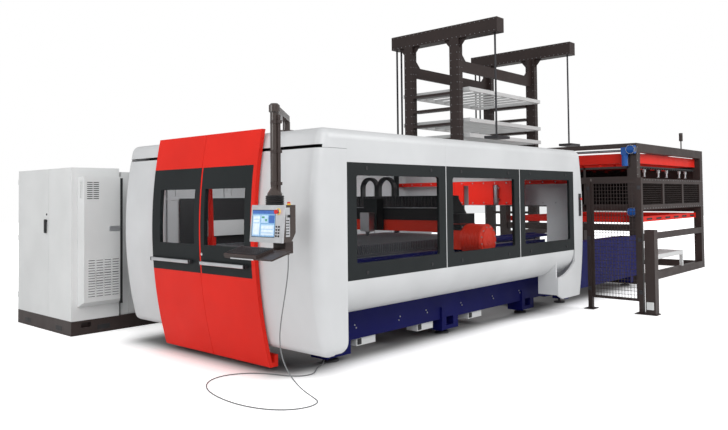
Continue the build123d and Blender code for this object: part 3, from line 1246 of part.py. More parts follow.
def cabinet_plinth():
    """Plinth under both cabinets and the floor duct from it to the bed."""
    x = span(PLINTH_X, PLINTH_LENGTH)
    y = span(CABINET_NEAR_Y, CABINET_WIDTH)
    plinth = block(x, y, (0, PLINTH_HEIGHT))
    slot_z = (PLINTH_HEIGHT / 2, PLINTH_HEIGHT - PLINTH_SLOT_DEPTH / 2)
    plinth -= block(span(PLINTH_X + 2 * PLINTH_SLOT_DEPTH, 2 * PLINTH_SLOT_DEPTH),
                    (y[0] - 1, y[0] + PLINTH_SLOT_DEPTH), slot_z)
    duct_x = span(DUCT_START_X, DUCT_LENGTH)
    duct = block(duct_x, (BED_FAR_Y, CABINET_NEAR_Y), (DUCT_RISE, DUCT_HEIGHT))
    for gap in DUCT_FOOT_GAPS:
        duct += block(duct_x, span(CABINET_NEAR_Y - gap, DUCT_FOOT), (0, DUCT_RISE))
    return group([plinth, duct])


def control_cabinet():
    """Case with an open front that its two doors close."""
    x0 = PLINTH_X + CABINET_DOOR_THICKNESS + TOUCH_GAP
    x1 = PLINTH_X + CABINET_DEPTH
    y = span(CABINET_NEAR_Y, CABINET_WIDTH)
    wall = CABINET_WALL
    case = block((x0, x1), y, (PLINTH_HEIGHT, CABINET_TOP_Z))
    return case - block((x0 - 1, x1 - wall), (y[0] + wall, y[1] - wall),
                        (PLINTH_HEIGHT + wall, CABINET_TOP_Z - wall))


def laser_cabinet():
    """Closed case of the laser source behind the control cabinet."""
    x = (PLINTH_X + CABINET_DEPTH + CABINET_GAP, PLINTH_X + PLINTH_LENGTH)
    z = (PLINTH_HEIGHT, CABINET_TOP_Z - CABINET_GAP)
    y = (CABINET_NEAR_Y + CABINET_STEP, CABINET_NEAR_Y + CABINET_WIDTH)
    start, width = CABINET_SEAM
    seam = block(span(x[0] + start, width), (y[0] - 1, y[0] + width), (z[0] - 1, z[1] + 1))
    return block(x, y, z) - seam


def cabinet_door(near):
    """One folded sheet door with its hinge knuckles; the near one is the narrow one."""
    split = CABINET_NEAR_Y + CABINET_SPLIT
    gap = CABINET_DOOR_GAP
    sheet = CABINET_DOOR_SHEET
    y = (CABINET_NEAR_Y, split - gap) if near else (split + gap, CABINET_NEAR_Y + CABINET_WIDTH)
    z = (PLINTH_HEIGHT + gap, CABINET_TOP_Z)
    door = block(span(PLINTH_X, CABINET_DOOR_THICKNESS), y, z)
    door -= block((PLINTH_X + sheet, PLINTH_X + CABINET_DOOR_THICKNESS + 1), (y[0] + sheet, y[1] - sheet),
                  (z[0] + sheet, z[1] - sheet))
    hinge_y = y[0] if near else y[1]
    for hinge_z in HINGE_ZS:
        door += standing(HINGE_RADIUS, HINGE_LENGTH, PLINTH_X, hinge_y, hinge_z)
    return door


def swing_handle():
    """Lever that folds flat against the door by the split."""
    y = CABINET_NEAR_Y + CABINET_SPLIT + SWING_HANDLE_INSET
    depth, width, height = SWING_HANDLE
    z0 = SWING_HANDLE_Z
    lever = block((PLINTH_X - depth, PLINTH_X - depth / 3), span(y, width), span(z0, height))
    lever = fillet(near_edges(lever, along_y, lambda c: c.X < PLINTH_X - depth + 1), depth / 3)
    boss_x = (PLINTH_X - depth / 3, PLINTH_X - TOUCH_GAP)
    return lever + stud_x(y + width / 2, z0 + height - SWING_BOSS_DROP, SWING_BOSS_RADIUS, *boss_x)


def cooling_unit():
    """Cooler on the cabinet's near side, with four columns of louvres."""
    x = span(PLINTH_X + COOLER_START, COOLER_LENGTH)
    y1 = CABINET_NEAR_Y
    y0 = y1 - COOLER_DEPTH
    section = polygon((y1, COOLER_BOTTOM_Z), (y0, COOLER_BOTTOM_Z + COOLER_SLANT), (y0, COOLER_TOP_Z),
                      (y1, COOLER_TOP_Z))
    unit = prism_x(section, *x)
    slots = []
    for column in range(LOUVRE_COLUMNS):
        for row in range(LOUVRE_ROWS):
            x0 = x[0] + LOUVRE_START + column * LOUVRE_PITCH[0]
            z0 = LOUVRE_LOW_Z + row * LOUVRE_PITCH[1]
            slot_x = span(x0, LOUVRE_SLOT[0])
            slots.append(block(slot_x, (y0 - 1, y0 + LOUVRE_DEPTH), span(z0, LOUVRE_SLOT[1])))
    for row in range(SIDE_VENTS):
        z0 = COOLER_TOP_Z - SIDE_VENT_DROP + row * SIDE_VENT_PITCH
        slots.append(block((x[0] - 1, x[0] + LOUVRE_DEPTH), span(y0 + SIDE_VENT_INSET, SIDE_VENT[0]),
                           span(z0, SIDE_VENT[1])))
    return unit - slots


# Guard


def guard_fence():
    """Two posts on foot plates, the panel frame between them and the light column."""
    x = (GUARD_X - GUARD_TUBE / 2, GUARD_X + GUARD_TUBE / 2)
    parts = []
    for y0 in (GUARD_NEAR_Y, GUARD_FAR_Y - GUARD_TUBE):
        centre = Pos(GUARD_X, y0 + GUARD_TUBE / 2, 0)
        plate = centre * extrude(Rectangle(*GUARD_PLATE_SIZE), amount=GUARD_PLATE)
        anchor = Cylinder(ANCHOR_HOLE_RADIUS, 4 * GUARD_PLATE)
        plate -= [centre * spot * anchor for spot in GridLocations(*ANCHOR_SPACING, 2, 2)]
        parts += [plate, block(x, span(y0, GUARD_TUBE), (GUARD_PLATE, GUARD_TOP_Z))]
    bar = GUARD_PANEL_BAR
    panel_x = (GUARD_X - bar / 2, GUARD_X + bar / 2)
    y = (GUARD_NEAR_Y + GUARD_TUBE, GUARD_FAR_Y - GUARD_TUBE)
    z = (GUARD_PANEL_BOTTOM_Z, GUARD_PANEL_TOP_Z)
    parts += [block(panel_x, y, (z[0], z[0] + bar)), block(panel_x, y, (z[1] - bar, z[1]))]
    for y0 in (y[0], y[1] - bar):
        parts.append(block(panel_x, span(y0, bar), (z[0] + bar, z[1] - bar)))
    half = LIGHT_COLUMN / 2
    column_y1 = GUARD_NEAR_Y - LIGHT_COLUMN_GAP
    column_x = (GUARD_X - half, GUARD_X + half)
    foot = LIGHT_COLUMN_FOOT
    parts.append(block((column_x[0] - foot, column_x[1] + foot), (column_y1 - LIGHT_COLUMN - foot, column_y1),
                       (0, GUARD_PLATE)))
    parts.append(block(column_x, (column_y1 - LIGHT_COLUMN, column_y1), (GUARD_PLATE, LIGHT_COLUMN_TOP_Z)))
    return group(parts)


def mesh_sheet(y, z, columns, rows, x0):
    """Sheet with a grid of square gaps, upright across X."""
    sheet = block(span(x0, GUARD_WIRE_THICKNESS), y, z)
    pitch_y = (y[1] - y[0] - GUARD_WIRE) / columns
    pitch_z = (z[1] - z[0] - GUARD_WIRE) / rows
    gaps = []
    for column in range(columns):
        for row in range(rows):
            y0 = y[0] + GUARD_WIRE + column * pitch_y
            z0 = z[0] + GUARD_WIRE + row * pitch_z
            gaps.append(block((x0 - 1, x0 + GUARD_WIRE_THICKNESS + 1), (y0, y0 + pitch_y - GUARD_WIRE),
                              (z0, z0 + pitch_z - GUARD_WIRE)))
    return sheet - gaps


def guard_mesh():
    bar = GUARD_PANEL_BAR + TOUCH_GAP
    y = (GUARD_NEAR_Y + GUARD_TUBE + bar, GUARD_FAR_Y - GUARD_TUBE - bar)
    z = (GUARD_PANEL_BOTTOM_Z + bar, GUARD_PANEL_TOP_Z - bar)
    return mesh_sheet(y, z, GUARD_MESH_COLUMNS, GUARD_MESH_ROWS, GUARD_X - GUARD_WIRE_THICKNESS / 2)


# Loader


def loader_frame():
    """Posts, beams, bins and side panel of the loader, bolted together, with its lamp."""
    xs = (span(LOADER_START_X, LOADER_POST_X), span(LOADER_END_X - LOADER_POST_X, LOADER_POST_X))
    ys = (span(LOADER_NEAR_Y, LOADER_POST_Y), span(LOADER_FAR_Y - LOADER_POST_Y, LOADER_POST_Y))
    parts = [block(x, y, (0, LOADER_TOP_Z)) for x in xs for y in ys]
    inner_x = (xs[0][1], xs[1][0])
    inner_y = (ys[0][1], ys[1][0])
    top_z = (LOADER_TOP_Z - LOADER_BEAM, LOADER_TOP_Z)
    side_z = (LOADER_TOP_Z - LOADER_SIDE_BEAM, LOADER_TOP_Z)
    base_z = (0, LOADER_BASE_TOP_Z)
    for x in xs:
        for z in (top_z, base_z, LOADER_MID_Z):
            parts.append(block(span(x[0], LOADER_BEAM_DEPTH), inner_y, z))
    for y0 in (LOADER_NEAR_Y, LOADER_FAR_Y - LOADER_BEAM_DEPTH):
        parts.append(block(inner_x, span(y0, LOADER_BEAM_DEPTH), side_z))
        parts.append(block(inner_x, span(y0, LOADER_BEAM_DEPTH), base_z))
        parts.append(block(inner_x, span(y0, LOADER_BIN_DEPTH), LOADER_BIN_Z))
    panel_y = span(LOADER_NEAR_Y, SKIN)
    z0, z1 = LOADER_PANEL_Z
    bar = LOADER_PANEL_BAR
    parts += [block(inner_x, panel_y, (z0, z0 + bar)), block(inner_x, panel_y, (z1 - bar, z1))]
    for number in range(LOADER_PANEL_FIELDS + 1):
        x0 = inner_x[0] + number * (inner_x[1] - inner_x[0] - bar) / LOADER_PANEL_FIELDS
        parts.append(block(span(x0, bar), panel_y, (z0 + bar, z1 - bar)))
    lamp_y = LOADER_NEAR_Y + LOADER_BEAM_DEPTH / 2
    stem = standing(LAMP_STEM_RADIUS, LAMP_HEIGHT / 2, LAMP_X, lamp_y, LOADER_TOP_Z)
    head = standing(LAMP_HEAD_RADIUS, LAMP_HEIGHT / 2, LAMP_X, lamp_y, LOADER_TOP_Z + LAMP_HEIGHT / 2)
    parts.append(stem + head)
    return group(parts)


def ladder(z0, height, tube, rungs):
    """Tubes of a ladder frame between the loader's posts, a hair off them, and its X and Y ranges."""
    x = (LOADER_START_X + LOADER_POST_X + TOUCH_GAP, LOADER_END_X - LOADER_POST_X - TOUCH_GAP)
    y = (LOADER_NEAR_Y + FRAME_INSET, LOADER_FAR_Y - FRAME_INSET)
    z = span(z0, height)
    tubes = [block(x, span(y[0], tube), z), block(x, (y[1] - tube, y[1]), z)]
    for number in range(rungs):
        x0 = x[0] + number * (x[1] - x[0] - tube) / (rungs - 1)
        tubes.append(block(span(x0, tube), (y[0] + tube, y[1] - tube), z))
    return tubes, x, y


def suction_frame():
    """Red lifting frame with suction cups under its rungs."""
    tube = SUCTION_TUBE
    tubes, x, y = ladder(SUCTION_Z, SUCTION_HEIGHT, tube, SUCTION_CUP_COLUMNS)
    cup = Cone(SUCTION_CUP_RADIUS, SUCTION_CUP_RADIUS / 2, SUCTION_CUP_HEIGHT,
               align=(Align.CENTER, Align.CENTER, Align.MAX))
    for column in range(SUCTION_CUP_COLUMNS):
        for row in range(SUCTION_CUP_ROWS):
            cup_x = x[0] + tube / 2 + column * (x[1] - x[0] - tube) / (SUCTION_CUP_COLUMNS - 1)
            cup_y = y[0] + (y[1] - y[0]) * (row + 1) / (SUCTION_CUP_ROWS + 1)
            tubes.append(Pos(cup_x, cup_y, SUCTION_Z) * cup)
    return group(tubes)


def unload_frame():
    """Lower red frame that takes cut sheets off."""
    tubes, _, _ = ladder(UNLOAD_Z, UNLOAD_HEIGHT, SUCTION_TUBE, UNLOAD_RUNGS)
    return group(tubes)


def shaft_centre():
    """X and Z of the lift shaft, in front of the top beam."""
    return (LOADER_START_X + LOADER_BEAM_DEPTH + SHAFT_RADIUS + SHAFT_CLEARANCE, SHAFT_Z)


def lift_shaft():
    """Drive shaft across the loader, under the top beam."""
    x, z = shaft_centre()
    y = (LOADER_NEAR_Y + LOADER_POST_Y, LOADER_FAR_Y - LOADER_POST_Y - TOUCH_GAP)
    return prism_y(Pos(x, z) * Circle(SHAFT_RADIUS), y[0] + TOUCH_GAP, y[1])


def gear_motors():
    """Two motors outside the near corner post; the upper one drives through a gearbox."""
    x1 = LOADER_START_X
    y0 = LOADER_NEAR_Y + MOTOR_INSET
    motors = []
    for z in (SHAFT_Z, LOW_MOTOR_Z):
        depth, width, height = MOTOR_FLANGE
        motor = Pos(x1 - MOTOR_RADIUS, y0, z) * Rot(90, 0, 0) * Cylinder(MOTOR_RADIUS, MOTOR_LENGTH)
        flange_y = (y0 - width / 2, y0 + width / 2)
        motors.append(motor + block((x1 - depth, x1), flange_y, (z - height / 2, z + height / 2)))
    depth, width, height = GEARBOX
    box_y = span(y0 + GEARBOX_OFFSET, width)
    low_z = SHAFT_Z - GEARBOX_DROP
    motors[0] += block((x1 - depth, x1), box_y, span(low_z, height))
    motors[0] += hanging(GEAR_MOTOR_RADIUS, GEAR_MOTOR_LENGTH, x1 - MOTOR_RADIUS, sum(box_y) / 2, low_z)
    return group(motors)


# Sheet store


def store_frame():
    """Four posts, two top beams, cross beams with gussets, shelf brackets and ties."""
    parts = []
    depth, width = STORE_POST
    x_last = STORE_XS[1]
    for x0 in STORE_XS:
        for y0 in STORE_POST_YS:
            parts.append(block(span(x0, depth), span(y0, width), (0, STORE_TOP_Z)))
        beam_y = (STORE_BEAM_NEAR_Y, STORE_BEAM_FAR_Y)
        parts.append(block(span(x0, STORE_BEAM[0]), beam_y, span(STORE_TOP_Z, STORE_BEAM[1])))
        tie_y = (LOADER_FAR_Y, STORE_POST_YS[0])
        parts.append(block(span(x0, depth), tie_y, (0, LOADER_BASE_TOP_Z)))
        tie_y = (STORE_POST_YS[0] + width, STORE_POST_YS[1])
        parts.append(block(span(x0, depth), tie_y, (0, LOADER_BASE_TOP_Z)))
    inner_x = (STORE_XS[0] + depth, x_last)
    low, high = STORE_CROSS_Z
    gusset = STORE_TOP_Z - high
    short, middle_reach, long = STORE_GUSSET
    for y0 in STORE_POST_YS:
        middle = y0 + width / 2
        y = (middle - STORE_CROSS_THICKNESS / 2, middle + STORE_CROSS_THICKNESS / 2)
        web = polygon((inner_x[0], low), (inner_x[1], low), (inner_x[1], STORE_TOP_Z),
                      (inner_x[1] - short, STORE_TOP_Z), (inner_x[1] - middle_reach, high + gusset / 3),
                      (inner_x[1] - long, high), (inner_x[0] + long, high),
                      (inner_x[0] + middle_reach, high + gusset / 3), (inner_x[0] + short, STORE_TOP_Z),
                      (inner_x[0], STORE_TOP_Z))
        parts.append(prism_y(web, *y))
    for level in range(SHELF_LEVELS):
        z = span(SHELF_LOW_Z + level * SHELF_PITCH, SHELF_HEIGHT)
        y = (STORE_POST_YS[0] + width, STORE_POST_YS[1])
        for x in ((STORE_XS[0], inner_x[0] + SHELF_REACH), (inner_x[1] - SHELF_REACH, inner_x[1] + depth)):
            parts.append(block(x, y, z))
    return group(parts)


def cassette(z0, y, x):
    """Bars of a flat carrier for sheets: a rim and ribs across it."""
    z = span(z0, CASSETTE_HEIGHT)
    bar = CASSETTE_BAR
    bars = [block(x, span(y[0], bar), z), block(x, (y[1] - bar, y[1]), z)]
    inner_y = (y[0] + bar, y[1] - bar)
    pitch = (x[1] - x[0] - bar) / (CASSETTE_RIBS + 1)
    for number in range(CASSETTE_RIBS + 2):
        at_end = number in (0, CASSETTE_RIBS + 1)
        low = z[0] if at_end else z[0] + CASSETTE_HEIGHT / 2
        bars.append(block(span(x[0] + number * pitch, bar), inner_y, (low, z[1])))
    return bars


def cassettes():
    """Carriers on the store's shelves, and the one that stands in the loader."""
    depth, width = STORE_POST
    x = (STORE_XS[0] + depth + CASSETTE_CLEARANCE, STORE_XS[1] - CASSETTE_CLEARANCE)
    y = (STORE_POST_YS[0] - CASSETTE_OVERHANG, STORE_POST_YS[1] + width + CASSETTE_OVERHANG)
    bars = []
    for level in CASSETTE_LEVELS:
        bars += cassette(SHELF_LOW_Z + level * SHELF_PITCH + SHELF_HEIGHT + TOUCH_GAP, y, x)
    leg = CARRIER_LEG
    low_y = (LOADER_NEAR_Y + CASSETTE_CLEARANCE, LOADER_FAR_Y - CASSETTE_CLEARANCE)
    low_x = span(LOADER_START_X + CARRIER_START, CARRIER_LENGTH)
    leg_z = span(LOADER_BASE_TOP_Z, CARRIER_LEG_HEIGHT)
    bars += cassette(leg_z[1], low_y, low_x)
    for y0 in (low_y[0], low_y[1] - leg):
        for x0 in (low_x[0], low_x[1] - leg):
            bars.append(block(span(x0, leg), span(y0, leg), leg_z))
    return group(bars)


def lift_chains():
    """Hanging chains of the store's lift and the lift plates at their lower ends."""
    parts = []
    x_size, y_size = CHAIN_BAR
    for x_post in STORE_XS:
        x0 = x_post + STORE_BEAM[0] / 2 - x_size / 2
        low = LIFT_CHAIN_BOTTOM_Z
        for y0 in LIFT_CHAIN_YS:
            parts.append(block(span(x0, x_size), span(y0, y_size), (low, STORE_TOP_Z)))
        length, width, height = LIFT_PLATE
        plate_x = x0 + x_size / 2 - length / 2
        plate_y = span(LIFT_CHAIN_YS[0] - width / 2, width)
        parts.append(block(span(plate_x, length), plate_y, (low - height, low)))
    return group(parts)


PIECES = {
    "bed_frame": bed_frame,
    "levelling_feet": levelling_feet,
    "scrap_drawers": scrap_drawers,
    "cabin_frame": cabin_frame,
    "front_header": front_header,
    "front_panels": front_panels,
    "roof_panels": roof_panels,
    "lower_panels": lower_panels,
    "far_wall_panels": far_wall_panels,
    "rear_end_shell": rear_end_shell,
    "window_frames": window_frames,
    "window_panes": window_panes,
    "rear_gate": rear_gate,
    "button_strip": button_strip,
    "strip_stop": strip_stop,
    "guide_rails": guide_rails,
    "pallet_frame": pallet_frame,
    "pallet_slats": pallet_slats,
    "table_frame": table_frame,
    "bridge_beam": bridge_beam,
    "bridge_cover": bridge_cover,
    "drive_housing": drive_housing,
    "cable_chains": cable_chains,
    "carriage": carriage,
    "cutting_head": cutting_head,
    "door_leaf_left": lambda: door_leaf(1),
    "door_leaf_right": lambda: door_leaf(-1),
    "door_band_left": lambda: door_band(1),
    "door_band_right": lambda: door_band(-1),
    "door_glass_left": lambda: door_glass(1),
    "door_glass_right": lambda: door_glass(-1),
    "door_handle_left": lambda: door_handle(1),
    "door_handle_right": lambda: door_handle(-1),
    "arm_base": arm_base,
    "swivel_arm": swivel_arm,
    "mast": mast,
    "operator_panel": operator_panel,
    "panel_housing": panel_housing,
    "panel_screen": panel_screen,
    "emergency_stop": emergency_stop,
    "selector_knob": selector_knob,
    "keyboard_tray": keyboard_tray,
    "network_cord": network_cord,
    "cabinet_plinth": cabinet_plinth,
    "control_cabinet": control_cabinet,
    "laser_cabinet": laser_cabinet,
    "cabinet_door_near": lambda: cabinet_door(True),
    "cabinet_door_far": lambda: cabinet_door(False),
    "swing_handle": swing_handle,
    "cooling_unit": cooling_unit,
    "guard_fence": guard_fence,
    "guard_mesh": guard_mesh,
    "loader_frame": loader_frame,
    "suction_frame": suction_frame,
    "unload_frame": unload_frame,
    "lift_shaft": lift_shaft,
    "gear_motors": gear_motors,
    "store_frame": store_frame,
    "cassettes": cassettes,
    "lift_chains": lift_chains,
}

os.makedirs("parts", exist_ok=True)
for name, make in PIECES.items():
    export_step(make(), f"parts/{name}.step")
print(len(PIECES), "pieces; cord radii", [round(r) for r in cord_radii()])
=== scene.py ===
# %% [markdown]
# # A sheet laser cutting line
# The machine is a windowed cabin over a blue bed, with two red sliding doors, a panel on an arm,
# two control cabinets, a guard, a loader and a tall sheet store. The solids could be modelled
# here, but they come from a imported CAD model, which keeps sizes and joints exact. This lesson
# gives them a camera, a cord, finishes, small parts and light.

import json
import math

import bmesh
import bpy
from mathutils import Matrix, Vector


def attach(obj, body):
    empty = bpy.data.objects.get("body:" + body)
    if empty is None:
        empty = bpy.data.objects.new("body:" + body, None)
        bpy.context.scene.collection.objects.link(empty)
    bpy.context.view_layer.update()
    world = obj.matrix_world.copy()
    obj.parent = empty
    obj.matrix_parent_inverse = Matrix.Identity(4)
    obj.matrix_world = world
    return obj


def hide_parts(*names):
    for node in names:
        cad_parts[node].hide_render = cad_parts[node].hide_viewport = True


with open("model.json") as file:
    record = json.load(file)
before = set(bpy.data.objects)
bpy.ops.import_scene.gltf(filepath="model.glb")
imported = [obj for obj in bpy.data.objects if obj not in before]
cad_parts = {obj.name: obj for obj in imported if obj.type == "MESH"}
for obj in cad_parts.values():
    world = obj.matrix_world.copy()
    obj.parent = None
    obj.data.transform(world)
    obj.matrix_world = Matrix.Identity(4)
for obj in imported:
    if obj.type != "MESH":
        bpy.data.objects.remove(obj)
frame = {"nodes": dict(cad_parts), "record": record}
scene = bpy.context.scene
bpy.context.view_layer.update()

# %% [markdown]
# ## Camera
# The camera stands at eye height, off the corner of the cabin where the doors meet the windows.
# A photo gives its lens through vanishing points: here they set the focal length in pixels, and
# the horizon gives the pitch. The optical axis meets the picture above its middle, so the frame
# is shifted a little instead of tilting the camera, which keeps upright edges upright.

# %% Place the camera
IMAGE_WIDTH = 728
IMAGE_HEIGHT = 430
FOCAL_LENGTH_PIXELS = 697.0
OPTICAL_AXIS_ROW = 174.5
SENSOR_MM = 36.0
CAMERA_YAW = math.radians(42.19)
CAMERA_PITCH = math.radians(1.82)
CAMERA_ROLL = math.radians(-0.59)
CAMERA_PLACE = Vector((-4.8625, -4.8718, 1.6))

flat_right = Vector((math.sin(CAMERA_YAW), -math.cos(CAMERA_YAW), 0))
forward = Vector((math.cos(CAMERA_YAW) * math.cos(CAMERA_PITCH),
                  math.sin(CAMERA_YAW) * math.cos(CAMERA_PITCH), math.sin(CAMERA_PITCH)))
flat_up = flat_right.cross(forward)
right = flat_right * math.cos(CAMERA_ROLL) + flat_up * math.sin(CAMERA_ROLL)
up = flat_up * math.cos(CAMERA_ROLL) - flat_right * math.sin(CAMERA_ROLL)

camera_data = bpy.data.cameras.new("photo_camera")
camera_data.sensor_width = SENSOR_MM
camera_data.lens = FOCAL_LENGTH_PIXELS * SENSOR_MM / IMAGE_WIDTH
camera_data.shift_y = (OPTICAL_AXIS_ROW - IMAGE_HEIGHT / 2) / IMAGE_WIDTH
camera = bpy.data.objects.new("photo_camera", camera_data)
camera_axes = Matrix((right, up, -forward)).transposed().to_4x4()
camera.matrix_world = Matrix.Translation(CAMERA_PLACE) @ camera_axes
scene.collection.objects.link(camera)
scene.camera = camera
print("lens", round(camera_data.lens, 2), "shift", round(camera_data.shift_y, 4))

# %% [markdown]
# ## Cord
# A thin grey cord leaves the gland under the keyboard tray, hangs to the floor, lies in one wide
# loop in front of the doors and goes up into the bed. It could be a tube mesh, but one NURBS line
# with a round bevel stays editable and bends as smoothly as a real lead. The points
# that guide it are those of the CAD tube.

# %% Lay the cord
MM = 0.001
CORD_DIAMETER = 0.010
CORD_ROUNDNESS = 5
CORD_ORDER = 3
CORD_STEPS = 8
CORD_POINTS_MM = (
    (-1112, -643, 1139.7), (-1112, -643, 1050), (-1113, -628, 940), (-1114, -604, 825),
    (-1115, -577, 710), (-1116, -551, 590), (-1115, -532, 470), (-1110, -539, 350),
    (-1098, -576, 240), (-1076, -640, 142), (-1042, -722, 62), (-1012, -812, 14),
    (-1040, -905, 5), (-1130, -950, 5), (-1240, -940, 5), (-1335, -886, 5),
    (-1408, -800, 5), (-1457, -695, 5), (-1486, -575, 5), (-1498, -450, 5),
    (-1494, -325, 5), (-1478, -200, 5), (-1451, -78, 5), (-1410, 40, 5),
    (-1349, 150, 5), (-1264, 245, 5), (-1155, 308, 5), (-1030, 320, 5),
    (-914, 275, 5), (-817, 194, 5), (-746, 89, 5), (-704, -31, 5),
    (-665, -150, 5), (-590, -240, 5), (-480, -258, 5), (-385, -190, 5),
    (-312, -128, 5), (-252, -98, 5), (-205, -82, 5), (-180.4, -75, 15.3),
    (-161.4, -69.5, 34.5), (-151.5, -66.6, 57.6),
)

cord_curve = bpy.data.curves.new("floor_cord", "CURVE")
cord_curve.dimensions = "3D"
cord_curve.bevel_depth = CORD_DIAMETER / 2
cord_curve.bevel_resolution = CORD_ROUNDNESS
cord_line = cord_curve.splines.new("NURBS")
cord_line.points.add(len(CORD_POINTS_MM) - 1)
for point, place in zip(cord_line.points, CORD_POINTS_MM):
    point.co = (*(value * MM for value in place), 1)
cord_line.order_u = CORD_ORDER
cord_line.use_endpoint_u = True
cord_line.resolution_u = CORD_STEPS
cord = bpy.data.objects.new("floor_cord", cord_curve)
scene.collection.objects.link(cord)
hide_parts("network_cord")
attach(cord, "panel")
print("cord laid through", len(CORD_POINTS_MM), "points")

# %% [markdown]
# ## Layers of a finish
# Nearly all of the line is painted steel, and a coat of paint is never one flat colour: its tone
# drifts slowly over a panel, its gloss changes with handling, and its orange peel bends
# reflections. Pictures of real sheets could show that, but noise in the object's own metres
# needs no picture and has no seam. Each of these helpers builds one such layer.

# %% Helpers for layers
RAMP_SOCKETS = ("From Min", "From Max", "To Min", "To Max")
NOISE_MIDDLE = (0.3, 0.7)


def new_finish(name):
    """Material with its node tree and its shader."""
    material = bpy.data.materials.new(name)
    material.use_nodes = True
    return material, material.node_tree, material.node_tree.nodes["Principled BSDF"]


def noise(tree, scale, detail=3.0, stretch=(1, 1, 1)):
    """Noise in the object's own metres, drawn out along an axis by stretch."""
    place = tree.nodes.new("ShaderNodeTexCoord")
    mapping = tree.nodes.new("ShaderNodeMapping")
    mapping.inputs["Scale"].default_value = stretch
    texture = tree.nodes.new("ShaderNodeTexNoise")
    texture.inputs["Scale"].default_value = scale
    texture.inputs["Detail"].default_value = detail
    tree.links.new(place.outputs["Object"], mapping.inputs["Vector"])
    tree.links.new(mapping.outputs["Vector"], texture.inputs["Vector"])
    return texture.outputs["Fac"]


def ramp(tree, value, start, end, low, high, shape="LINEAR"):
    """Value that goes from low to high while the given one goes from start to end."""
    node = tree.nodes.new("ShaderNodeMapRange")
    node.interpolation_type = shape
    for socket, limit in zip(RAMP_SOCKETS, (start, end, low, high)):
        node.inputs[socket].default_value = limit
    tree.links.new(value, node.inputs["Value"])
    return node.outputs["Result"]


def spread(tree, value, low, high):
    """Value between low and high, following the middle of a noise."""
    return ramp(tree, value, *NOISE_MIDDLE, low, high)


def drifting_colour(tree, shader, colour, change, scale):
    """Colour that gets a little darker and lighter over the surface."""
    mix = tree.nodes.new("ShaderNodeMix")
    mix.data_type = "RGBA"
    mix.inputs["A"].default_value = (*(c * (1 - change) for c in colour), 1)
    mix.inputs["B"].default_value = (*(min(1, c * (1 + change)) for c in colour), 1)
    tree.links.new(spread(tree, noise(tree, scale), 0, 1), mix.inputs["Factor"])
    tree.links.new(mix.outputs["Result"], shader.inputs["Base Color"])


def fine_bump(tree, shader, value, strength, depth):
    """Bump from a value, with its depth in metres."""
    bump = tree.nodes.new("ShaderNodeBump")
    bump.inputs["Strength"].default_value = strength
    bump.inputs["Distance"].default_value = depth
    tree.links.new(value, bump.inputs["Height"])
    tree.links.new(bump.outputs["Normal"], shader.inputs["Normal"])


print("layers: drift of tone, gloss and bump")

# %% [markdown]
# ## Four kinds of surface
# The line is made of painted steel, bare metal, moulded plastic and clear sheet. Every slot could
# have nodes of its own, but four functions are shorter: each knows how its kind of surface comes
# about, and a finish only says its colour and how strong the layers are. The clear sheet doesn't
# bend light. A straight view through it keeps the inside as clear as a thin window does.

# %% Paint, metal, plastic and clear sheet
PEEL_DEPTH = 0.0004
GRAIN_DEPTH = 0.0003
GRAIN_SCALE = 900.0
SHEET_BODY = (0.02, 0.02, 0.02, 1)
SHEET_GLEAM = 0.035


def paint(name, colour, gloss=0.38, drift=0.05, peel=0.12, peel_size=260.0, coat=0.0, shine=0.5):
    """Painted sheet steel: slow drift of tone, uneven gloss and orange peel."""
    material, tree, shader = new_finish(name)
    drifting_colour(tree, shader, colour, change=drift, scale=1.7)
    handled = spread(tree, noise(tree, scale=4.0, detail=5.0), gloss - 0.05, gloss + 0.07)
    tree.links.new(handled, shader.inputs["Roughness"])
    shader.inputs["Coat Weight"].default_value = coat
    shader.inputs["Coat Roughness"].default_value = 0.12
    shader.inputs["Specular IOR Level"].default_value = shine
    fine_bump(tree, shader, noise(tree, peel_size, detail=2.0), strength=peel, depth=PEEL_DEPTH)
    return material


def metal(name, colour, rough=0.32, brushed=(1, 1, 1)):
    """Bare metal with fine grinding marks drawn out along one axis."""
    material, tree, shader = new_finish(name)
    drifting_colour(tree, shader, colour, change=0.08, scale=6.0)
    shader.inputs["Metallic"].default_value = 1.0
    marks = noise(tree, scale=220.0, detail=4.0, stretch=brushed)
    tree.links.new(spread(tree, marks, rough - 0.07, rough + 0.1), shader.inputs["Roughness"])
    fine_bump(tree, shader, marks, strength=0.15, depth=GRAIN_DEPTH)
    return material


def plastic(name, colour, gloss=0.5, grain=0.25):
    """Moulded plastic with an eroded grain."""
    material, tree, shader = new_finish(name)
    drifting_colour(tree, shader, colour, change=0.06, scale=9.0)
    handled = spread(tree, noise(tree, scale=14.0), gloss - 0.05, gloss + 0.08)
    tree.links.new(handled, shader.inputs["Roughness"])
    eroded = noise(tree, GRAIN_SCALE, detail=1.0)
    fine_bump(tree, shader, eroded, strength=grain, depth=GRAIN_DEPTH)
    return material


def clear_sheet(name, tint):
    """Clear sheet: light goes straight through, a little tinted, and a thin gleam lies on it."""
    material, tree, shader = new_finish(name)
    shader.inputs["Base Color"].default_value = SHEET_BODY
    wiped = noise(tree, scale=5.0, detail=4.0, stretch=(1, 1, 0.3))
    tree.links.new(spread(tree, wiped, 0.04, 0.10), shader.inputs["Roughness"])
    through = tree.nodes.new("ShaderNodeBsdfTransparent")
    through.inputs["Color"].default_value = (*tint, 1)
    blend = tree.nodes.new("ShaderNodeMixShader")
    blend.inputs[0].default_value = SHEET_GLEAM
    tree.links.new(through.outputs[0], blend.inputs[1])
    tree.links.new(shader.outputs[0], blend.inputs[2])
    tree.links.new(blend.outputs[0], tree.nodes["Material Output"].inputs["Surface"])
    return material


print("surfaces: paint, metal, plastic and clear sheet")

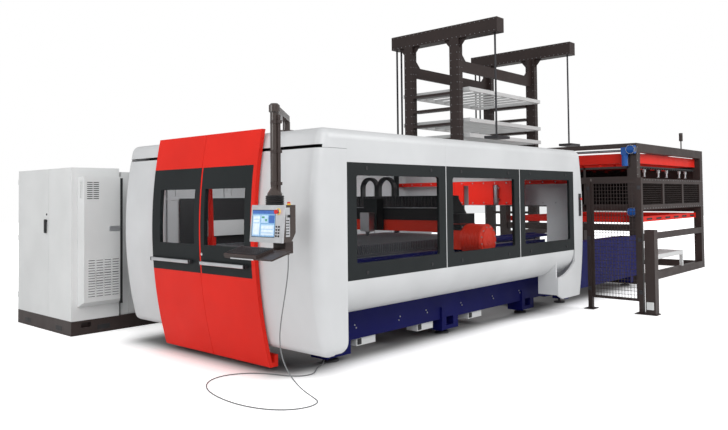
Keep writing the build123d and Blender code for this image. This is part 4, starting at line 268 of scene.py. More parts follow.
# %% [markdown]
# ## One finish for each slot
# The record names a material slot for each node. Finishes could be given node by node, but giving
# every slot one finish first means that no solid is left plain, and later cells only change the
# surfaces that need something special. The gear motors are blue, and the mast, its arm and the
# panel's back have a glossy brown coat of their own.

# %% Finish every solid
MAST_NODES = ("mast", "swivel_arm", "arm_base", "panel_housing")
finishes = {
    "white_paint": paint("cabin_white", (0.58, 0.59, 0.60), gloss=0.36, peel=0.04, coat=0.06),
    "light_paint": paint("cabinet_grey", (0.66, 0.67, 0.67), gloss=0.5, peel=0.1,
                         peel_size=420.0),
    "red_paint": paint("signal_red", (0.69, 0.020, 0.011), gloss=0.4, peel=0.04, coat=0.03,
                       shine=0.12),
    "blue_paint": paint("bed_blue", (0.005, 0.006, 0.080), gloss=0.5, drift=0.12, peel=0.06,
                        shine=0.1),
    "dark_grey_paint": paint("frame_grey", (0.015, 0.018, 0.019), gloss=0.45, drift=0.1,
                             peel=0.06, shine=0.14),
    "brown_paint": paint("store_brown", (0.034, 0.022, 0.020), gloss=0.42, drift=0.12,
                         peel=0.08, shine=0.4),
    "dark_steel": paint("blackened_steel", (0.04, 0.04, 0.045), gloss=0.45, drift=0.2,
                        shine=0.35),
    "bright_steel": metal("ground_steel", (0.42, 0.43, 0.45), brushed=(0.05, 1, 1)),
    "alloy": metal("anodised_alloy", (0.66, 0.67, 0.69), rough=0.38, brushed=(1, 1, 0.1)),
    "tinted_glass": clear_sheet("window_sheet", (0.93, 0.94, 0.945)),
    "screen": plastic("display_glass", (0.02, 0.025, 0.03), gloss=0.12, grain=0.02),
    "black_plastic": plastic("black_plastic", (0.014, 0.014, 0.016)),
    "red_plastic": plastic("stop_red", (0.60, 0.015, 0.010), gloss=0.3, grain=0.05),
    "cord_jacket": plastic("cord_grey", (0.17, 0.175, 0.18), gloss=0.45, grain=0.1),
}
slot_of = {row["node"]: row["material_slot"] for row in frame["record"]["subparts"]}
for node, solid in frame["nodes"].items():
    solid.data.materials.clear()
    solid.data.materials.append(finishes[slot_of[node]])
cord.data.materials.append(finishes["cord_jacket"])
motor_blue = paint("motor_blue", (0.012, 0.085, 0.34), gloss=0.35, shine=0.3)
frame["nodes"]["gear_motors"].data.materials[0] = motor_blue
mast_brown = paint("mast_brown", (0.045, 0.032, 0.028), gloss=0.2, peel=0.03, coat=0.5)
for node in MAST_NODES:
    frame["nodes"][node].data.materials[0] = mast_brown
print(len(finishes), "finishes on", len(frame["nodes"]), "nodes")

# %% [markdown]
# ## Shapes of small parts
# The CAD model has the frames, doors and drives. A viewer believes them when the small parts are
# there too: locks, bolts, keys and louvres. Each could be an object of its own, but they are many
# and alike, so these helpers gather blocks, round parts and drawn-out outlines in one mesh. They
# work in millimetres, like a drawing.

# %% Helpers for shapes
X_AXIS, Y_AXIS = 0, 1


def span(start, size):
    """Limits that begin at a start."""
    return start, start + size


def around(middle, reach):
    """Limits on both sides of a middle."""
    return middle - reach, middle + reach


def steps(first, last, count):
    """Evenly spaced values from the first to the last."""
    return [first + (last - first) * n / (count - 1) for n in range(count)]


def add_block(mesh, x, y, z, place=None):
    """Box between two limits on each axis, moved by an optional matrix."""
    low, high = Vector((x[0], y[0], z[0])), Vector((x[1], y[1], z[1]))
    size = Matrix.Diagonal((*((high - low) * MM), 1))
    spot = Matrix.Translation((low + high) / 2 * MM) @ size
    if place is not None:
        spot = place @ spot
    bmesh.ops.create_cube(mesh, size=1, matrix=spot)


def add_round(mesh, centre, axis, profile, sides=20, hollow=False):
    """Round part from rings of (height, radius) along an axis; a hollow one joins last to first."""
    along = Vector(axis).normalized()
    side = along.orthogonal().normalized()
    other = along.cross(side)
    rings = []
    for height, radius in profile:
        middle = Vector(centre) + along * height
        ring = []
        for n in range(sides):
            turn = 2 * math.pi * n / sides
            outward = side * math.cos(turn) + other * math.sin(turn)
            ring.append(mesh.verts.new((middle + outward * radius) * MM))
        rings.append(ring)
    for lower, upper in zip(rings, rings[1:] + rings[:1] if hollow else rings[1:]):
        for n in range(sides):
            mesh.faces.new((lower[n - 1], lower[n], upper[n], upper[n - 1]))
    if not hollow:
        mesh.faces.new(rings[0])
        mesh.faces.new(rings[-1])


def add_drawn(mesh, outline, axis, low, high):
    """Outline in the two other coordinates, drawn out along an axis between two limits."""
    ends = []
    for limit in (low, high):
        corners = [list(point) for point in outline]
        for corner in corners:
            corner.insert(axis, limit)
        ends.append([mesh.verts.new(Vector(corner) * MM) for corner in corners])
    for n in range(len(outline)):
        mesh.faces.new((ends[0][n - 1], ends[0][n], ends[1][n], ends[1][n - 1]))
    mesh.faces.new(ends[0])
    mesh.faces.new(ends[1])


print("shapes: block, round part and drawn-out outline")

# %% [markdown]
# ## From shapes to a piece
# A gathered mesh becomes one piece that rides on a body, so it moves with its door or bridge.
# Real edges are never quite sharp, and a thin light line on them is what the eye reads as metal.
# They could be rounded in every shape, but a bevel on the whole piece does that in one place.

# %% Helpers for pieces
SHARP_ANGLE = math.radians(32)
BEVEL_STEPS = 2
MINUS_X, PLUS_X, MINUS_Y, PLUS_Z = (-1, 0, 0), (1, 0, 0), (0, -1, 0), (0, 0, 1)
BOLT_PROFILE = ((0, 1.15), (0.2, 1.15), (0.2, 1.0), (0.85, 1.0), (1.0, 0.8))


def new_piece(name, body, slot, mesh, finish=None, bevel=0.0):
    """Object of the gathered shapes that rides on a body, with its edges eased."""
    bmesh.ops.recalc_face_normals(mesh, faces=mesh.faces)
    data = bpy.data.meshes.new(name)
    mesh.to_mesh(data)
    mesh.free()
    data.shade_smooth()
    data.set_sharp_from_angle(angle=SHARP_ANGLE)
    piece = bpy.data.objects.new(name, data)
    scene.collection.objects.link(piece)
    data.materials.append(finish or finishes[slot])
    if bevel:
        eased = piece.modifiers.new("eased_edges", "BEVEL")
        eased.width = bevel * MM
        eased.segments = BEVEL_STEPS
        eased.limit_method = "ANGLE"
    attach(piece, body)
    print(name, len(data.polygons), "faces")


def rod_profile(radius, length):
    """Profile of a plain rod."""
    return (0, radius), (length, radius)


def ring_profile(inner, outer, width):
    """Profile of a flat ring, for a hollow round part."""
    return (0, inner), (0, outer), (width, outer), (width, inner)


def add_bolt(mesh, centre, axis, size=8.0):
    """Hexagon bolt head on its washer; the profile is in shares of the size."""
    profile = [(height * size, radius * size) for height, radius in BOLT_PROFILE]
    add_round(mesh, centre, axis, profile, sides=6)


print("a bolt has", len(BOLT_PROFILE), "rings")

# %% [markdown]
# ## Colour by height
# The bridge is one red casting, but a black rubber apron covers the upper part of its sides, and
# the drive at its near end is capped in black as well. The apron could be a second solid glued
# on. A colour that changes at a height above the floor says the same and adds no thickness.

# %% Two-tone bridge and drive
BRIDGE_RED = (0.72, 0.035, 0.014)
RUBBER_BLACK = (0.010, 0.010, 0.012)
BRIDGE_SPLIT = 1.305
DRIVE_SPLIT = 1.275


def banded(name, bands, gloss=0.4):
    """Paint whose colour changes at given heights in metres, from the lowest colour up."""
    material, tree, shader = new_finish(name)
    place = tree.nodes.new("ShaderNodeTexCoord")
    split = tree.nodes.new("ShaderNodeSeparateXYZ")
    tree.links.new(place.outputs["Object"], split.inputs[0])
    colour = None
    for height, tone in bands:
        mix = tree.nodes.new("ShaderNodeMix")
        mix.data_type = "RGBA"
        above = tree.nodes.new("ShaderNodeMath")
        above.operation = "GREATER_THAN"
        above.inputs[1].default_value = height
        tree.links.new(split.outputs["Z"], above.inputs[0])
        tree.links.new(above.outputs[0], mix.inputs["Factor"])
        mix.inputs["A"].default_value = (*tone, 1)
        if colour is not None:
            tree.links.new(colour, mix.inputs["A"])
        mix.inputs["B"].default_value = (*tone, 1)
        colour = mix.outputs["Result"]
    tree.links.new(colour, shader.inputs["Base Color"])
    handled = spread(tree, noise(tree, scale=6.0, detail=5.0), gloss - 0.05, gloss + 0.08)
    tree.links.new(handled, shader.inputs["Roughness"])
    shader.inputs["Specular IOR Level"].default_value = 0.3
    fine_bump(tree, shader, noise(tree, scale=260.0, detail=2.0), strength=0.08, depth=PEEL_DEPTH)
    return material


bridge_finish = banded("bridge_two_tone", ((0.0, BRIDGE_RED), (BRIDGE_SPLIT, RUBBER_BLACK)))
drive_finish = banded("drive_two_tone", ((0.0, BRIDGE_RED), (DRIVE_SPLIT, RUBBER_BLACK)))
frame["nodes"]["bridge_beam"].data.materials[0] = bridge_finish
frame["nodes"]["drive_housing"].data.materials[0] = drive_finish
print("bridge in", bridge_finish.name)

# %% [markdown]
# ## Windows
# Each side window is a dark steel frame held by four quarter-turn locks, so that it lifts out for
# cleaning. Between the frames the white cabin shows as a thin seam. A lock is a turned stud with
# a slot, the same part twelve times, so one profile and two lists of places make them all.

# %% Window locks and seams
NEAR_FACE_Y = -682
LOCK_XS = (-205, 760, 1288, 2246, 2756, 3700)
LOCK_ZS = (920, 1856)
LOCK_PROFILE = ((0, 17), (4, 17), (6, 15), (6, 9), (4, 8))
LOCK_SLOT_Y = (NEAR_FACE_Y - 6, NEAR_FACE_Y - 3)
SEAM_XS = (1014, 2507)
SEAM_Y = (NEAR_FACE_Y - 2, NEAR_FACE_Y + 6)
SEAM_Z = (866, 1904)

window_locks = bmesh.new()
for lock_x in LOCK_XS:
    for lock_z in LOCK_ZS:
        add_round(window_locks, (lock_x, NEAR_FACE_Y, lock_z), MINUS_Y, LOCK_PROFILE)
        add_block(window_locks, around(lock_x, 9), LOCK_SLOT_Y, around(lock_z, 2))
new_piece("window_locks", "installation", "black_plastic", window_locks)
window_seams = bmesh.new()
for seam_x in SEAM_XS:
    add_block(window_seams, around(seam_x, 5), SEAM_Y, SEAM_Z)
new_piece("window_seams", "installation", "white_paint", window_seams, bevel=1.0)

# %% [markdown]
# ## Comb of the pallet
# The sheet lies on upright slats whose ends stand in a comb of folded steel along the pallet. The
# comb is what the side windows show of the pallet: a dense row of grey teeth over the blue wall.
# An array of one tooth would do. A loop over the same outline needs no modifier.

# %% Comb teeth
COMB_START_X = -245
COMB_PITCH = 31.0
COMB_COUNT = 100
COMB_FOOT = ((COMB_START_X, 2845), (112, 118), (968, 990))
TOOTH_OUTLINE = ((0, 990), (17, 990), (17, 1070), (13, 1084), (4, 1084), (0, 1070))
TOOTH_Y = (110, 117)

comb = bmesh.new()
add_block(comb, *COMB_FOOT)
for tooth in range(COMB_COUNT):
    tooth_x = COMB_START_X + COMB_PITCH * tooth
    add_drawn(comb, [(tooth_x + x, z) for x, z in TOOTH_OUTLINE], Y_AXIS, *TOOTH_Y)
comb_grey = paint("comb_grey", (0.11, 0.11, 0.12), gloss=0.5, drift=0.2, shine=0.3)
new_piece("pallet_comb", "pallet", "dark_steel", comb, finish=comb_grey)

# %% [markdown]
# ## Far wall
# Behind the bridge the far wall shows through the windows: light panels with folded rails, and by
# the doors a black sheet over the part of the wall that is dark, with a grey box on it. They could
# be painted on as dark and light bands, but thin solids catch the cabin lamps and throw the fine
# shadows of a real wall.

# %% Rails, dark sheet and box on the far wall
WALL_Y = 2438
RAIL_X = (-440, 3900)
RAIL_ZS = (1580, 1880)
FOLD_XS = steps(-300, 3840, 11)
FOLD_Z = (870, 1895)
WALL_PANEL_Z = (1630, 1840)
DARK_WALL_SHEET = ((-130, 900), (WALL_Y - 30, WALL_Y - 22), (870, 1600))
FAR_BOX_FACE = WALL_Y - 90
FAR_BOX = ((230, 800), (FAR_BOX_FACE, WALL_Y - 30), (1130, 1320))
FAR_BOX_BOLT_XS = (300, 515, 730)
FAR_BOX_BOLT_Z = 1300

wall_rails = bmesh.new()
for rail_z in RAIL_ZS:
    add_block(wall_rails, RAIL_X, (WALL_Y - 12, WALL_Y), span(rail_z, 30))
for fold_x in FOLD_XS:
    add_block(wall_rails, span(fold_x, 46), (WALL_Y - 22, WALL_Y), FOLD_Z)
    add_block(wall_rails, span(fold_x + 120, 180), (WALL_Y - 8, WALL_Y), WALL_PANEL_Z)
new_piece("far_wall_rails", "installation", "white_paint", wall_rails, bevel=2.0)
dark_wall_sheet = bmesh.new()
add_block(dark_wall_sheet, *DARK_WALL_SHEET)
new_piece("far_dark_wall_sheet", "installation", "black_plastic", dark_wall_sheet, bevel=2.0)
far_box = bmesh.new()
add_block(far_box, *FAR_BOX)
for bolt_x in FAR_BOX_BOLT_XS:
    add_bolt(far_box, (bolt_x, FAR_BOX_FACE, FAR_BOX_BOLT_Z), MINUS_Y, 7)
new_piece("far_wall_box", "installation", "light_paint", far_box, bevel=4.0)

# %% [markdown]
# ## Guide plate and rail cover
# A red plate, narrower towards its top, stands inside the doors. A blue cover strip runs along
# the bed's near wall under the bridge's rail: it keeps dust off the rack, and it is the blue line
# at the lower edge of the windows. Both are cut and folded sheet, so an outline drawn out by its
# thickness and a long thin block are all they need.

# %% Guide plate by the doors and rail cover on the bed
GUIDE_OUTLINE = ((862, 1130), (940, 1130), (940, 2010), (908, 2010))
GUIDE_X = (-765, -745)
GUIDE_FOOT = ((-780, -730), (855, 950), (1130, 1215))
RAIL_COVER = ((-500, 4130), (-150, -122), (880, 977))

door_guide = bmesh.new()
add_drawn(door_guide, GUIDE_OUTLINE, X_AXIS, *GUIDE_X)
add_block(door_guide, *GUIDE_FOOT)
new_piece("door_guide_plate", "installation", "red_paint", door_guide, bevel=3.0)
rail_cover = bmesh.new()
add_block(rail_cover, *RAIL_COVER)
new_piece("rail_cover", "installation", "blue_paint", rail_cover, bevel=3.0)

# %% [markdown]
# ## Rear gate
# The gate that lets the pallet out is a red beam with rows of bolts. Two bright cylinders press
# it shut, each held by two small plates. Turned parts like these cylinders come from one profile
# turned about an axis, which is quicker and cleaner than stacking cylinders.

# %% Gate bolts and cylinders
GATE_X = 4040
GATE_BOLT_YS = steps(-560, 2340, 16)
GATE_BOLT_ZS = (1490, 1780)
PRESS_X = GATE_X - 32
PRESS_YS = (560, 1420)
PRESS_FOOT_Z = 1500
PRESS_PROFILE = ((0, 22), (40, 22), (44, 30), (190, 30), (196, 22), (250, 22), (256, 10))
PRESS_PLATE_ZS = (1540, 1700)

gate_bolts = bmesh.new()
for bolt_y in GATE_BOLT_YS:
    for bolt_z in GATE_BOLT_ZS:
        add_bolt(gate_bolts, (GATE_X, bolt_y, bolt_z), MINUS_X, 10)
for press_y in PRESS_YS:
    add_round(gate_bolts, (PRESS_X, press_y, PRESS_FOOT_Z), PLUS_Z, PRESS_PROFILE, sides=24)
    for plate_z in PRESS_PLATE_ZS:
        add_block(gate_bolts, (PRESS_X, GATE_X), around(press_y, 45), span(plate_z, 16))
new_piece("gate_fittings", "installation", "bright_steel", gate_bolts, bevel=1.5)

# %% [markdown]
# ## Drive
# The drive at the bridge's near end is a ribbed drum. Its lid is held by a ring of bolts, and a
# grey block with four bolts joins it to the bridge. The lid and ribs wear the drum's own two-tone
# finish, so the colour changes at one height over all of them.

# %% Drive lid, ribs and block
DRIVE_X, DRIVE_FACE_Y, DRIVE_Z = 1980, -572, 1093
DRIVE_LID_PROFILE = ((0, 128), (8, 128), (11, 122), (11, 60), (17, 56), (17, 30), (22, 26))
DRIVE_RIB_YS = steps(-540, -330, 7)
DRIVE_SIDES = 48
LID_BOLT_COUNT = 12
LID_BOLT_CIRCLE = 150
BLOCK_FACE_Y = -298
DRIVE_BLOCK = ((1826, 2134), (BLOCK_FACE_Y, -156), (1200, 1272))
BLOCK_BOLT_XS = (1860, 1940, 2020, 2100)
BLOCK_BOLT_Z = 1236

drive_lid = bmesh.new()
add_round(drive_lid, (DRIVE_X, DRIVE_FACE_Y, DRIVE_Z), MINUS_Y, DRIVE_LID_PROFILE,
          sides=DRIVE_SIDES)
for rib_y in DRIVE_RIB_YS:
    add_round(drive_lid, (DRIVE_X, rib_y, DRIVE_Z), MINUS_Y, ring_profile(174, 181, 8),
              sides=DRIVE_SIDES, hollow=True)
new_piece("drive_lid", "bridge", "red_paint", drive_lid, finish=drive_finish)
drive_bolts = bmesh.new()
for n in range(LID_BOLT_COUNT):
    turn = math.radians((n + 0.5) * 360 / LID_BOLT_COUNT)
    bolt_x = DRIVE_X + LID_BOLT_CIRCLE * math.cos(turn)
    bolt_z = DRIVE_Z + LID_BOLT_CIRCLE * math.sin(turn)
    add_bolt(drive_bolts, (bolt_x, DRIVE_FACE_Y, bolt_z), MINUS_Y, 9)
for bolt_x in BLOCK_BOLT_XS:
    add_bolt(drive_bolts, (bolt_x, BLOCK_FACE_Y, BLOCK_BOLT_Z), MINUS_Y, 9)
new_piece("drive_bolts", "bridge", "bright_steel", drive_bolts)
drive_block = bmesh.new()
add_block(drive_block, *DRIVE_BLOCK)
new_piece("drive_block", "bridge", "dark_grey_paint", drive_block, bevel=3.0)

# %% [markdown]
# ## Bellows on the bridge
# A bellows covers the bridge's guide. It folds about every ninety-five millimetres, and a bright
# rail runs along under it. The folds could be pleats in one sheet, but from the windows only
# their raised edges are seen, so thin plates across the bellows stand for them.

# %% Bellows folds and bridge rail
BELLOWS_X = (1862, 2060)
BELLOWS_Z = (1452, 1603)
BELLOWS_YS = steps(-100, 1880, 22)
BRIDGE_RAIL = ((1862, 1868), (-110, 1896), (1452, 1462))

bellows_folds = bmesh.new()
for fold_y in BELLOWS_YS:
    add_block(bellows_folds, BELLOWS_X, span(fold_y, 5), BELLOWS_Z)
new_piece("bellows_folds", "bridge", "black_plastic", bellows_folds, bevel=1.5)
bridge_rail = bmesh.new()
add_block(bridge_rail, *BRIDGE_RAIL)
new_piece("bridge_rail", "bridge", "bright_steel", bridge_rail, bevel=1.0)

# %% [markdown]
# ## Doors
# Each handle is a drawn alloy bar on two black stand-offs, and its ends are closed by black caps.
# A key lock sits beside the split. Caps and lock could be part of one fixed piece, but they
# belong to the leaves, so each rides on its leaf and slides away with it.

# %% Handle ends and lock
HANDLE_X, HANDLE_Z = -919, 975
HANDLES = (("left_door", 1035, 1735), ("right_door", 165, 865))
CAP_LENGTH = 14
KEY_LOCK_PLACE = (-876, 878, 1057)
KEY_LOCK_PROFILE = ((0, 15), (10, 15), (13, 12), (13, 5), (11, 4))

for body, bar_low, bar_high in HANDLES:
    caps = bmesh.new()
    for cap_y in (bar_low, bar_high - CAP_LENGTH):
        add_block(caps, around(HANDLE_X, 14), span(cap_y, CAP_LENGTH), around(HANDLE_Z, 19))
        add_block(caps, span(HANDLE_X, 34), span(cap_y - 6, 26), around(HANDLE_Z, 15))
    new_piece("handle_ends_" + body.split("_")[0], body, "black_plastic", caps, bevel=2.0)
key_lock = bmesh.new()
add_round(key_lock, KEY_LOCK_PLACE, MINUS_X, KEY_LOCK_PROFILE)
new_piece("door_key_lock", "right_door", "alloy", key_lock)

# %% [markdown]
# ## Operator panel
# The screen shows the program as pale windows under a dark bar. It lights itself, so its tiles
# have a faint glow of their own. A picture could be laid on the screen instead, but at this size
# it reads by its blocks of tone alone, so thin tiles without any writing are enough.

# %% Screen tiles
PANEL_FOOT_X, PANEL_FOOT_Z = -1262, 1243
PANEL_LEAN, PANEL_TALL = 27, 297
TILE_THICK = 1.0
SCREEN_GLOW = 0.22
SCREEN_TILES = (
    ("screen_back", (0.20, 0.38, 0.60), 0.0, ((-640, -359, 1287, 1497),)),
    ("screen_bar", (0.05, 0.13, 0.40), 1.0,
     ((-640, -359, 1470, 1497), (-632, -566, 1398, 1458))),
    ("screen_window", (0.45, 0.62, 0.80), 1.0,
     ((-552, -470, 1398, 1458), (-632, -470, 1296, 1385), (-458, -368, 1296, 1458))),
    ("screen_list", (0.66, 0.76, 0.84), 2.0,
     ((-624, -480, 1352, 1374), (-624, -480, 1324, 1342), (-624, -480, 1303, 1314),
      (-450, -376, 1430, 1448), (-450, -376, 1404, 1420), (-450, -376, 1306, 1392))),
    ("screen_key", (0.10, 0.30, 0.22), 2.0,
     ((-545, -520, 1410, 1430), (-512, -478, 1434, 1450))),
)


def glowing(name, colour):
    """Tile of a lit screen."""
    material, tree, shader = new_finish(name)
    drifting_colour(tree, shader, colour, change=0.12, scale=40.0)
    shader.inputs["Roughness"].default_value = 0.15
    shader.inputs["Emission Color"].default_value = (*colour, 1)
    shader.inputs["Emission Strength"].default_value = SCREEN_GLOW
    return material


def panel_x(z):
    """The panel's face leans back: its x at a height."""
    return PANEL_FOOT_X + PANEL_LEAN * (z - PANEL_FOOT_Z) / PANEL_TALL


def add_tile(mesh, y, z, proud):
    """Thin plate on the leaning face of the panel."""
    back = [(panel_x(height) - proud, height) for height in z]
    front = [(x - TILE_THICK, height) for x, height in reversed(back)]
    add_drawn(mesh, back + front, Y_AXIS, *y)


for name, colour, proud, tiles in SCREEN_TILES:
    shapes = bmesh.new()
    for y0, y1, z0, z1 in tiles:
        add_tile(shapes, (y0, y1), (z0, z1), proud)
    new_piece(name, "panel", "screen", shapes, finish=glowing(name, colour))

# %% [markdown]
# ## Buttons
# The emergency stop must be red on a yellow field, so it gets a yellow collar. Beside the screen
# are two columns of small push buttons, the side plate has card slots, and a pilot lamp with a
# yellow base stands on top. The slots could be cut into the plate. Dark blocks that hardly stand
# out, painted shade of the slots, look the same and leave the CAD solid as it is.

# %% Collar, buttons, slots and pilot lamp
STOP_Y, STOP_Z = -670.5, 1488
COLLAR_PROFILE = ((0, 22.5), (0, 27), (5, 27), (6, 22.5))
BUTTON_YS = (-692, -662)
BUTTON_ZS = steps(1296, 1370, 4)
BUTTON_PROFILE = ((0, 8), (5, 8), (6, 6.5))
CARD_SLOT_XS = (-1219, -1202)
CARD_SLOT_Y = (-744, -740)
CARD_SLOT_ZS = steps(1304, 1414, 6)
LAMP_CAP_PLACE, LAMP_CAP_PROFILE = (-1165, -712, 1552), ((0, 13), (11, 13), (15, 9))
LAMP_BASE_PLACE, LAMP_BASE_PROFILE = (-1165, -712, 1539), ((0, 16), (11, 16), (12, 14))

stop_yellow = plastic("stop_yellow", (0.85, 0.52, 0.02), gloss=0.35, grain=0.05)
collar = bmesh.new()
add_round(collar, (panel_x(STOP_Z) + 1, STOP_Y, STOP_Z), MINUS_X, COLLAR_PROFILE, hollow=True)
new_piece("stop_collar", "panel", "red_plastic", collar, finish=stop_yellow)
buttons = bmesh.new()
for button_y in BUTTON_YS:
    for button_z in BUTTON_ZS:
        add_round(buttons, (panel_x(button_z) + 1, button_y, button_z), MINUS_X, BUTTON_PROFILE,
                  sides=16)
new_piece("panel_buttons", "panel", "black_plastic", buttons)
# Card slots: dark blocks that are painted shade of the slots.
side_slot_shade = bmesh.new()
for slot_x in CARD_SLOT_XS:
    for slot_z in CARD_SLOT_ZS:
        add_block(side_slot_shade, span(slot_x, 12), CARD_SLOT_Y, span(slot_z, 9))
new_piece("side_plate_slot_shade", "panel", "black_plastic", side_slot_shade, bevel=0.8)
pilot_lamp = bmesh.new()
add_round(pilot_lamp, LAMP_CAP_PLACE, PLUS_Z, LAMP_CAP_PROFILE)
new_piece("pilot_lamp_cap", "panel", "red_plastic", pilot_lamp)
lamp_base = bmesh.new()
add_round(lamp_base, LAMP_BASE_PLACE, PLUS_Z, LAMP_BASE_PROFILE)
new_piece("pilot_lamp_base", "panel", "red_plastic", lamp_base, finish=stop_yellow)

# %% [markdown]
# ## Keyboard
# The keyboard has five rows of keys and a front row with the space bar. Each key is a low block
# with eased edges, and the space bar is a wide one. Keys could be placed one by one in the world,
# but one matrix lays all of them on the tray's slope, as a designer sketches on a tilted plane.

# %% Keys and tray strip
TRAY_FOOT = Vector((-1505, 0, 1128))
TRAY_TILT = math.radians(15)
KEY_TOP = 34.0
KEY_ROWS, FIRST_ROW_U, ROW_PITCH, KEY_DEEP = 6, 22, 24, 18
KEY_COLUMNS, FIRST_KEY_Y, KEY_PITCH, KEY_WIDE = 15, -712, 25.6, 19
SPACE_COLUMN, AFTER_SPACE, SPACE_WIDE = 3, 10, 172
KEY_BED = ((12, 188), (-724, -326), (KEY_TOP - 3, KEY_TOP + 0.8))
TRAY_STRIP = ((-5, 2), (-690, -410), (-2, 8))

tray_place = Matrix.Translation(TRAY_FOOT * MM) @ Matrix.Rotation(-TRAY_TILT, 4, "Y")
keys = bmesh.new()
for row in range(KEY_ROWS):
    key_u = span(FIRST_ROW_U + ROW_PITCH * row, KEY_DEEP)
    for column in range(KEY_COLUMNS):
        if row == 0 and SPACE_COLUMN < column < AFTER_SPACE:
            continue
        wide = SPACE_WIDE if row == 0 and column == SPACE_COLUMN else KEY_WIDE
        key_y = span(FIRST_KEY_Y + KEY_PITCH * column, wide)
        add_block(keys, key_u, key_y, span(KEY_TOP, 6), tray_place)
add_block(keys, *KEY_BED, tray_place)
new_piece("keyboard_keys", "panel", "black_plastic", keys, bevel=1.2)
strip = bmesh.new()
add_block(strip, *TRAY_STRIP, tray_place)
new_piece("tray_strip", "panel", "alloy", strip, bevel=1.0)

# %% [markdown]
# ## Mast
# A rubber bellows seals the joint between mast and panel. A tube beside the mast carries the
# leads, and clamps hold it to the mast. The bellows is a turned part like any other: its profile
# goes out and in again at each fold, so a loop writes the profile instead of a hand.

# %% Bellows, lead tube and clamps
MAST_X, MAST_Y = -1162, -540
MAST_BELLOWS_Z = 1541
MAST_FOLD, MAST_FOLDS = 15.2, 5
FOLD_INNER, FOLD_OUTER, FOLD_END = 70, 78, 68
LEAD_TUBE_FOOT = (-1150, -582, 1632)
CLAMP_ZS = (1700, 1960, 2200)
CLAMP_TALL = 26
CLAMP_LINK_X, CLAMP_LINK_Y = (-1168, -1132), (-600, -566)

folds = []
for fold in range(MAST_FOLDS):
    fold_z = MAST_FOLD * fold
    folds += [(fold_z, FOLD_INNER), (fold_z + MAST_FOLD / 2, FOLD_OUTER)]
folds.append((MAST_FOLD * MAST_FOLDS, FOLD_END))
mast_bellows = bmesh.new()
add_round(mast_bellows, (MAST_X, MAST_Y, MAST_BELLOWS_Z), PLUS_Z, folds, sides=32)
new_piece("mast_bellows", "panel", "black_plastic", mast_bellows)
lead_tube = bmesh.new()
add_round(lead_tube, LEAD_TUBE_FOOT, PLUS_Z, rod_profile(13, 640), sides=16)
for clamp_z in CLAMP_ZS:
    add_round(lead_tube, (MAST_X, MAST_Y, clamp_z), PLUS_Z, ring_profile(30, 35, CLAMP_TALL),
              sides=28, hollow=True)
    add_block(lead_tube, CLAMP_LINK_X, CLAMP_LINK_Y, span(clamp_z, CLAMP_TALL))
new_piece("mast_lead_tube", "panel", "brown_paint", lead_tube, bevel=1.0)

# %% [markdown]
# ## Bed
# The bed is welded from plate and bolted to its feet. Pairs of bolts show along the near side,
# and each scrap drawer has a black grip at its left end. The bolts don't stand at one pitch, so
# their places are a list read off the picture and not a formula.

# %% Bed bolts and drawer grips
BED_FACE_Y = -122
BED_BOLTS = (
    (214, 330), (236, 300), (902, 285), (924, 320), (1380, 330), (1402, 300), (2060, 330),
    (2082, 300), (2760, 330), (2782, 300), (3420, 330), (3442, 300), (4020, 330), (4042, 300),
)
DRAWER_XS = (272, 1258, 2263)
GRIP_Y, GRIP_Z = (-104, -92), (120, 178)

bed_bolts = bmesh.new()
for bolt_x, bolt_z in BED_BOLTS:
    add_bolt(bed_bolts, (bolt_x, BED_FACE_Y, bolt_z), MINUS_Y)
new_piece("bed_bolts", "installation", "bright_steel", bed_bolts)
grips = bmesh.new()
for drawer_x in DRAWER_XS:
    add_block(grips, span(drawer_x + 14, 52), GRIP_Y, GRIP_Z)
new_piece("drawer_grips", "installation", "black_plastic", grips, bevel=3.0)

# %% [markdown]
# ## Cooler
# A cooler hangs on the side of the control cabinet. Its face has a vent of fine slots at the top,
# a small display, and four columns of louvres below: pressed hoods that let air out and keep dust
# from falling in. Real louvres are cuts in the sheet. A dark wedge under a light hood is a painted
# shadow that gives the same shadow line without a cut. The vent slots and the long side slot are
# black blocks: painted shade of the slots.

# %% Vents, louvres and display
COOLER_Y = 3008
VENT_XS = (-996, -918)
VENT_ZS = steps(1606, 1796, 9)
LOUVRE_XS = steps(-978, -678, 4)
LOUVRE_ZS = steps(460, 880, 15)
SIDE_SLOT = ((-580, -548), (COOLER_Y - 3, COOLER_Y + 4), (345, 1855))
DISPLAY = ((-722, -584), (COOLER_Y - 3, COOLER_Y + 2), (1216, 1280))

# Vent slots and side slot are black blocks, painted shade; the wedges under the hoods are painted
# shadow.
vent_shade = bmesh.new()
for vent_x in VENT_XS:
    for vent_z in VENT_ZS:
        add_block(vent_shade, span(vent_x, 66), (COOLER_Y - 2, COOLER_Y + 4), span(vent_z, 9))
for louvre_x in LOUVRE_XS:
    for louvre_z in LOUVRE_ZS:
        hood_shadow = ((COOLER_Y, louvre_z), (COOLER_Y - 3, louvre_z), (COOLER_Y, louvre_z + 9))
        add_drawn(vent_shade, hood_shadow, X_AXIS, louvre_x, louvre_x + 78)
add_block(vent_shade, *SIDE_SLOT)
new_piece("cooler_vent_shade", "installation", "black_plastic", vent_shade)
hoods = bmesh.new()
for louvre_x in LOUVRE_XS:
    for louvre_z in LOUVRE_ZS:
        hood = ((COOLER_Y, louvre_z + 9), (COOLER_Y - 9, louvre_z + 7), (COOLER_Y, louvre_z + 22))
        add_drawn(hoods, hood, X_AXIS, louvre_x - 2, louvre_x + 80)
new_piece("cooler_louvres", "installation", "light_paint", hoods)
display = bmesh.new()
add_block(display, *DISPLAY)
new_piece("cooler_display", "installation", "alloy", display, bevel=2.0)

# %% [markdown]
# ## Cabinets
# The far cabinet's door has a small turn lock, and the plinth under the cabinets has slots for
# the forks of a lift truck. The slots are dark blocks that stand out by a few millimetres, painted
# shade of the slots: from eye height that reads as a hole, and nothing has to be cut.

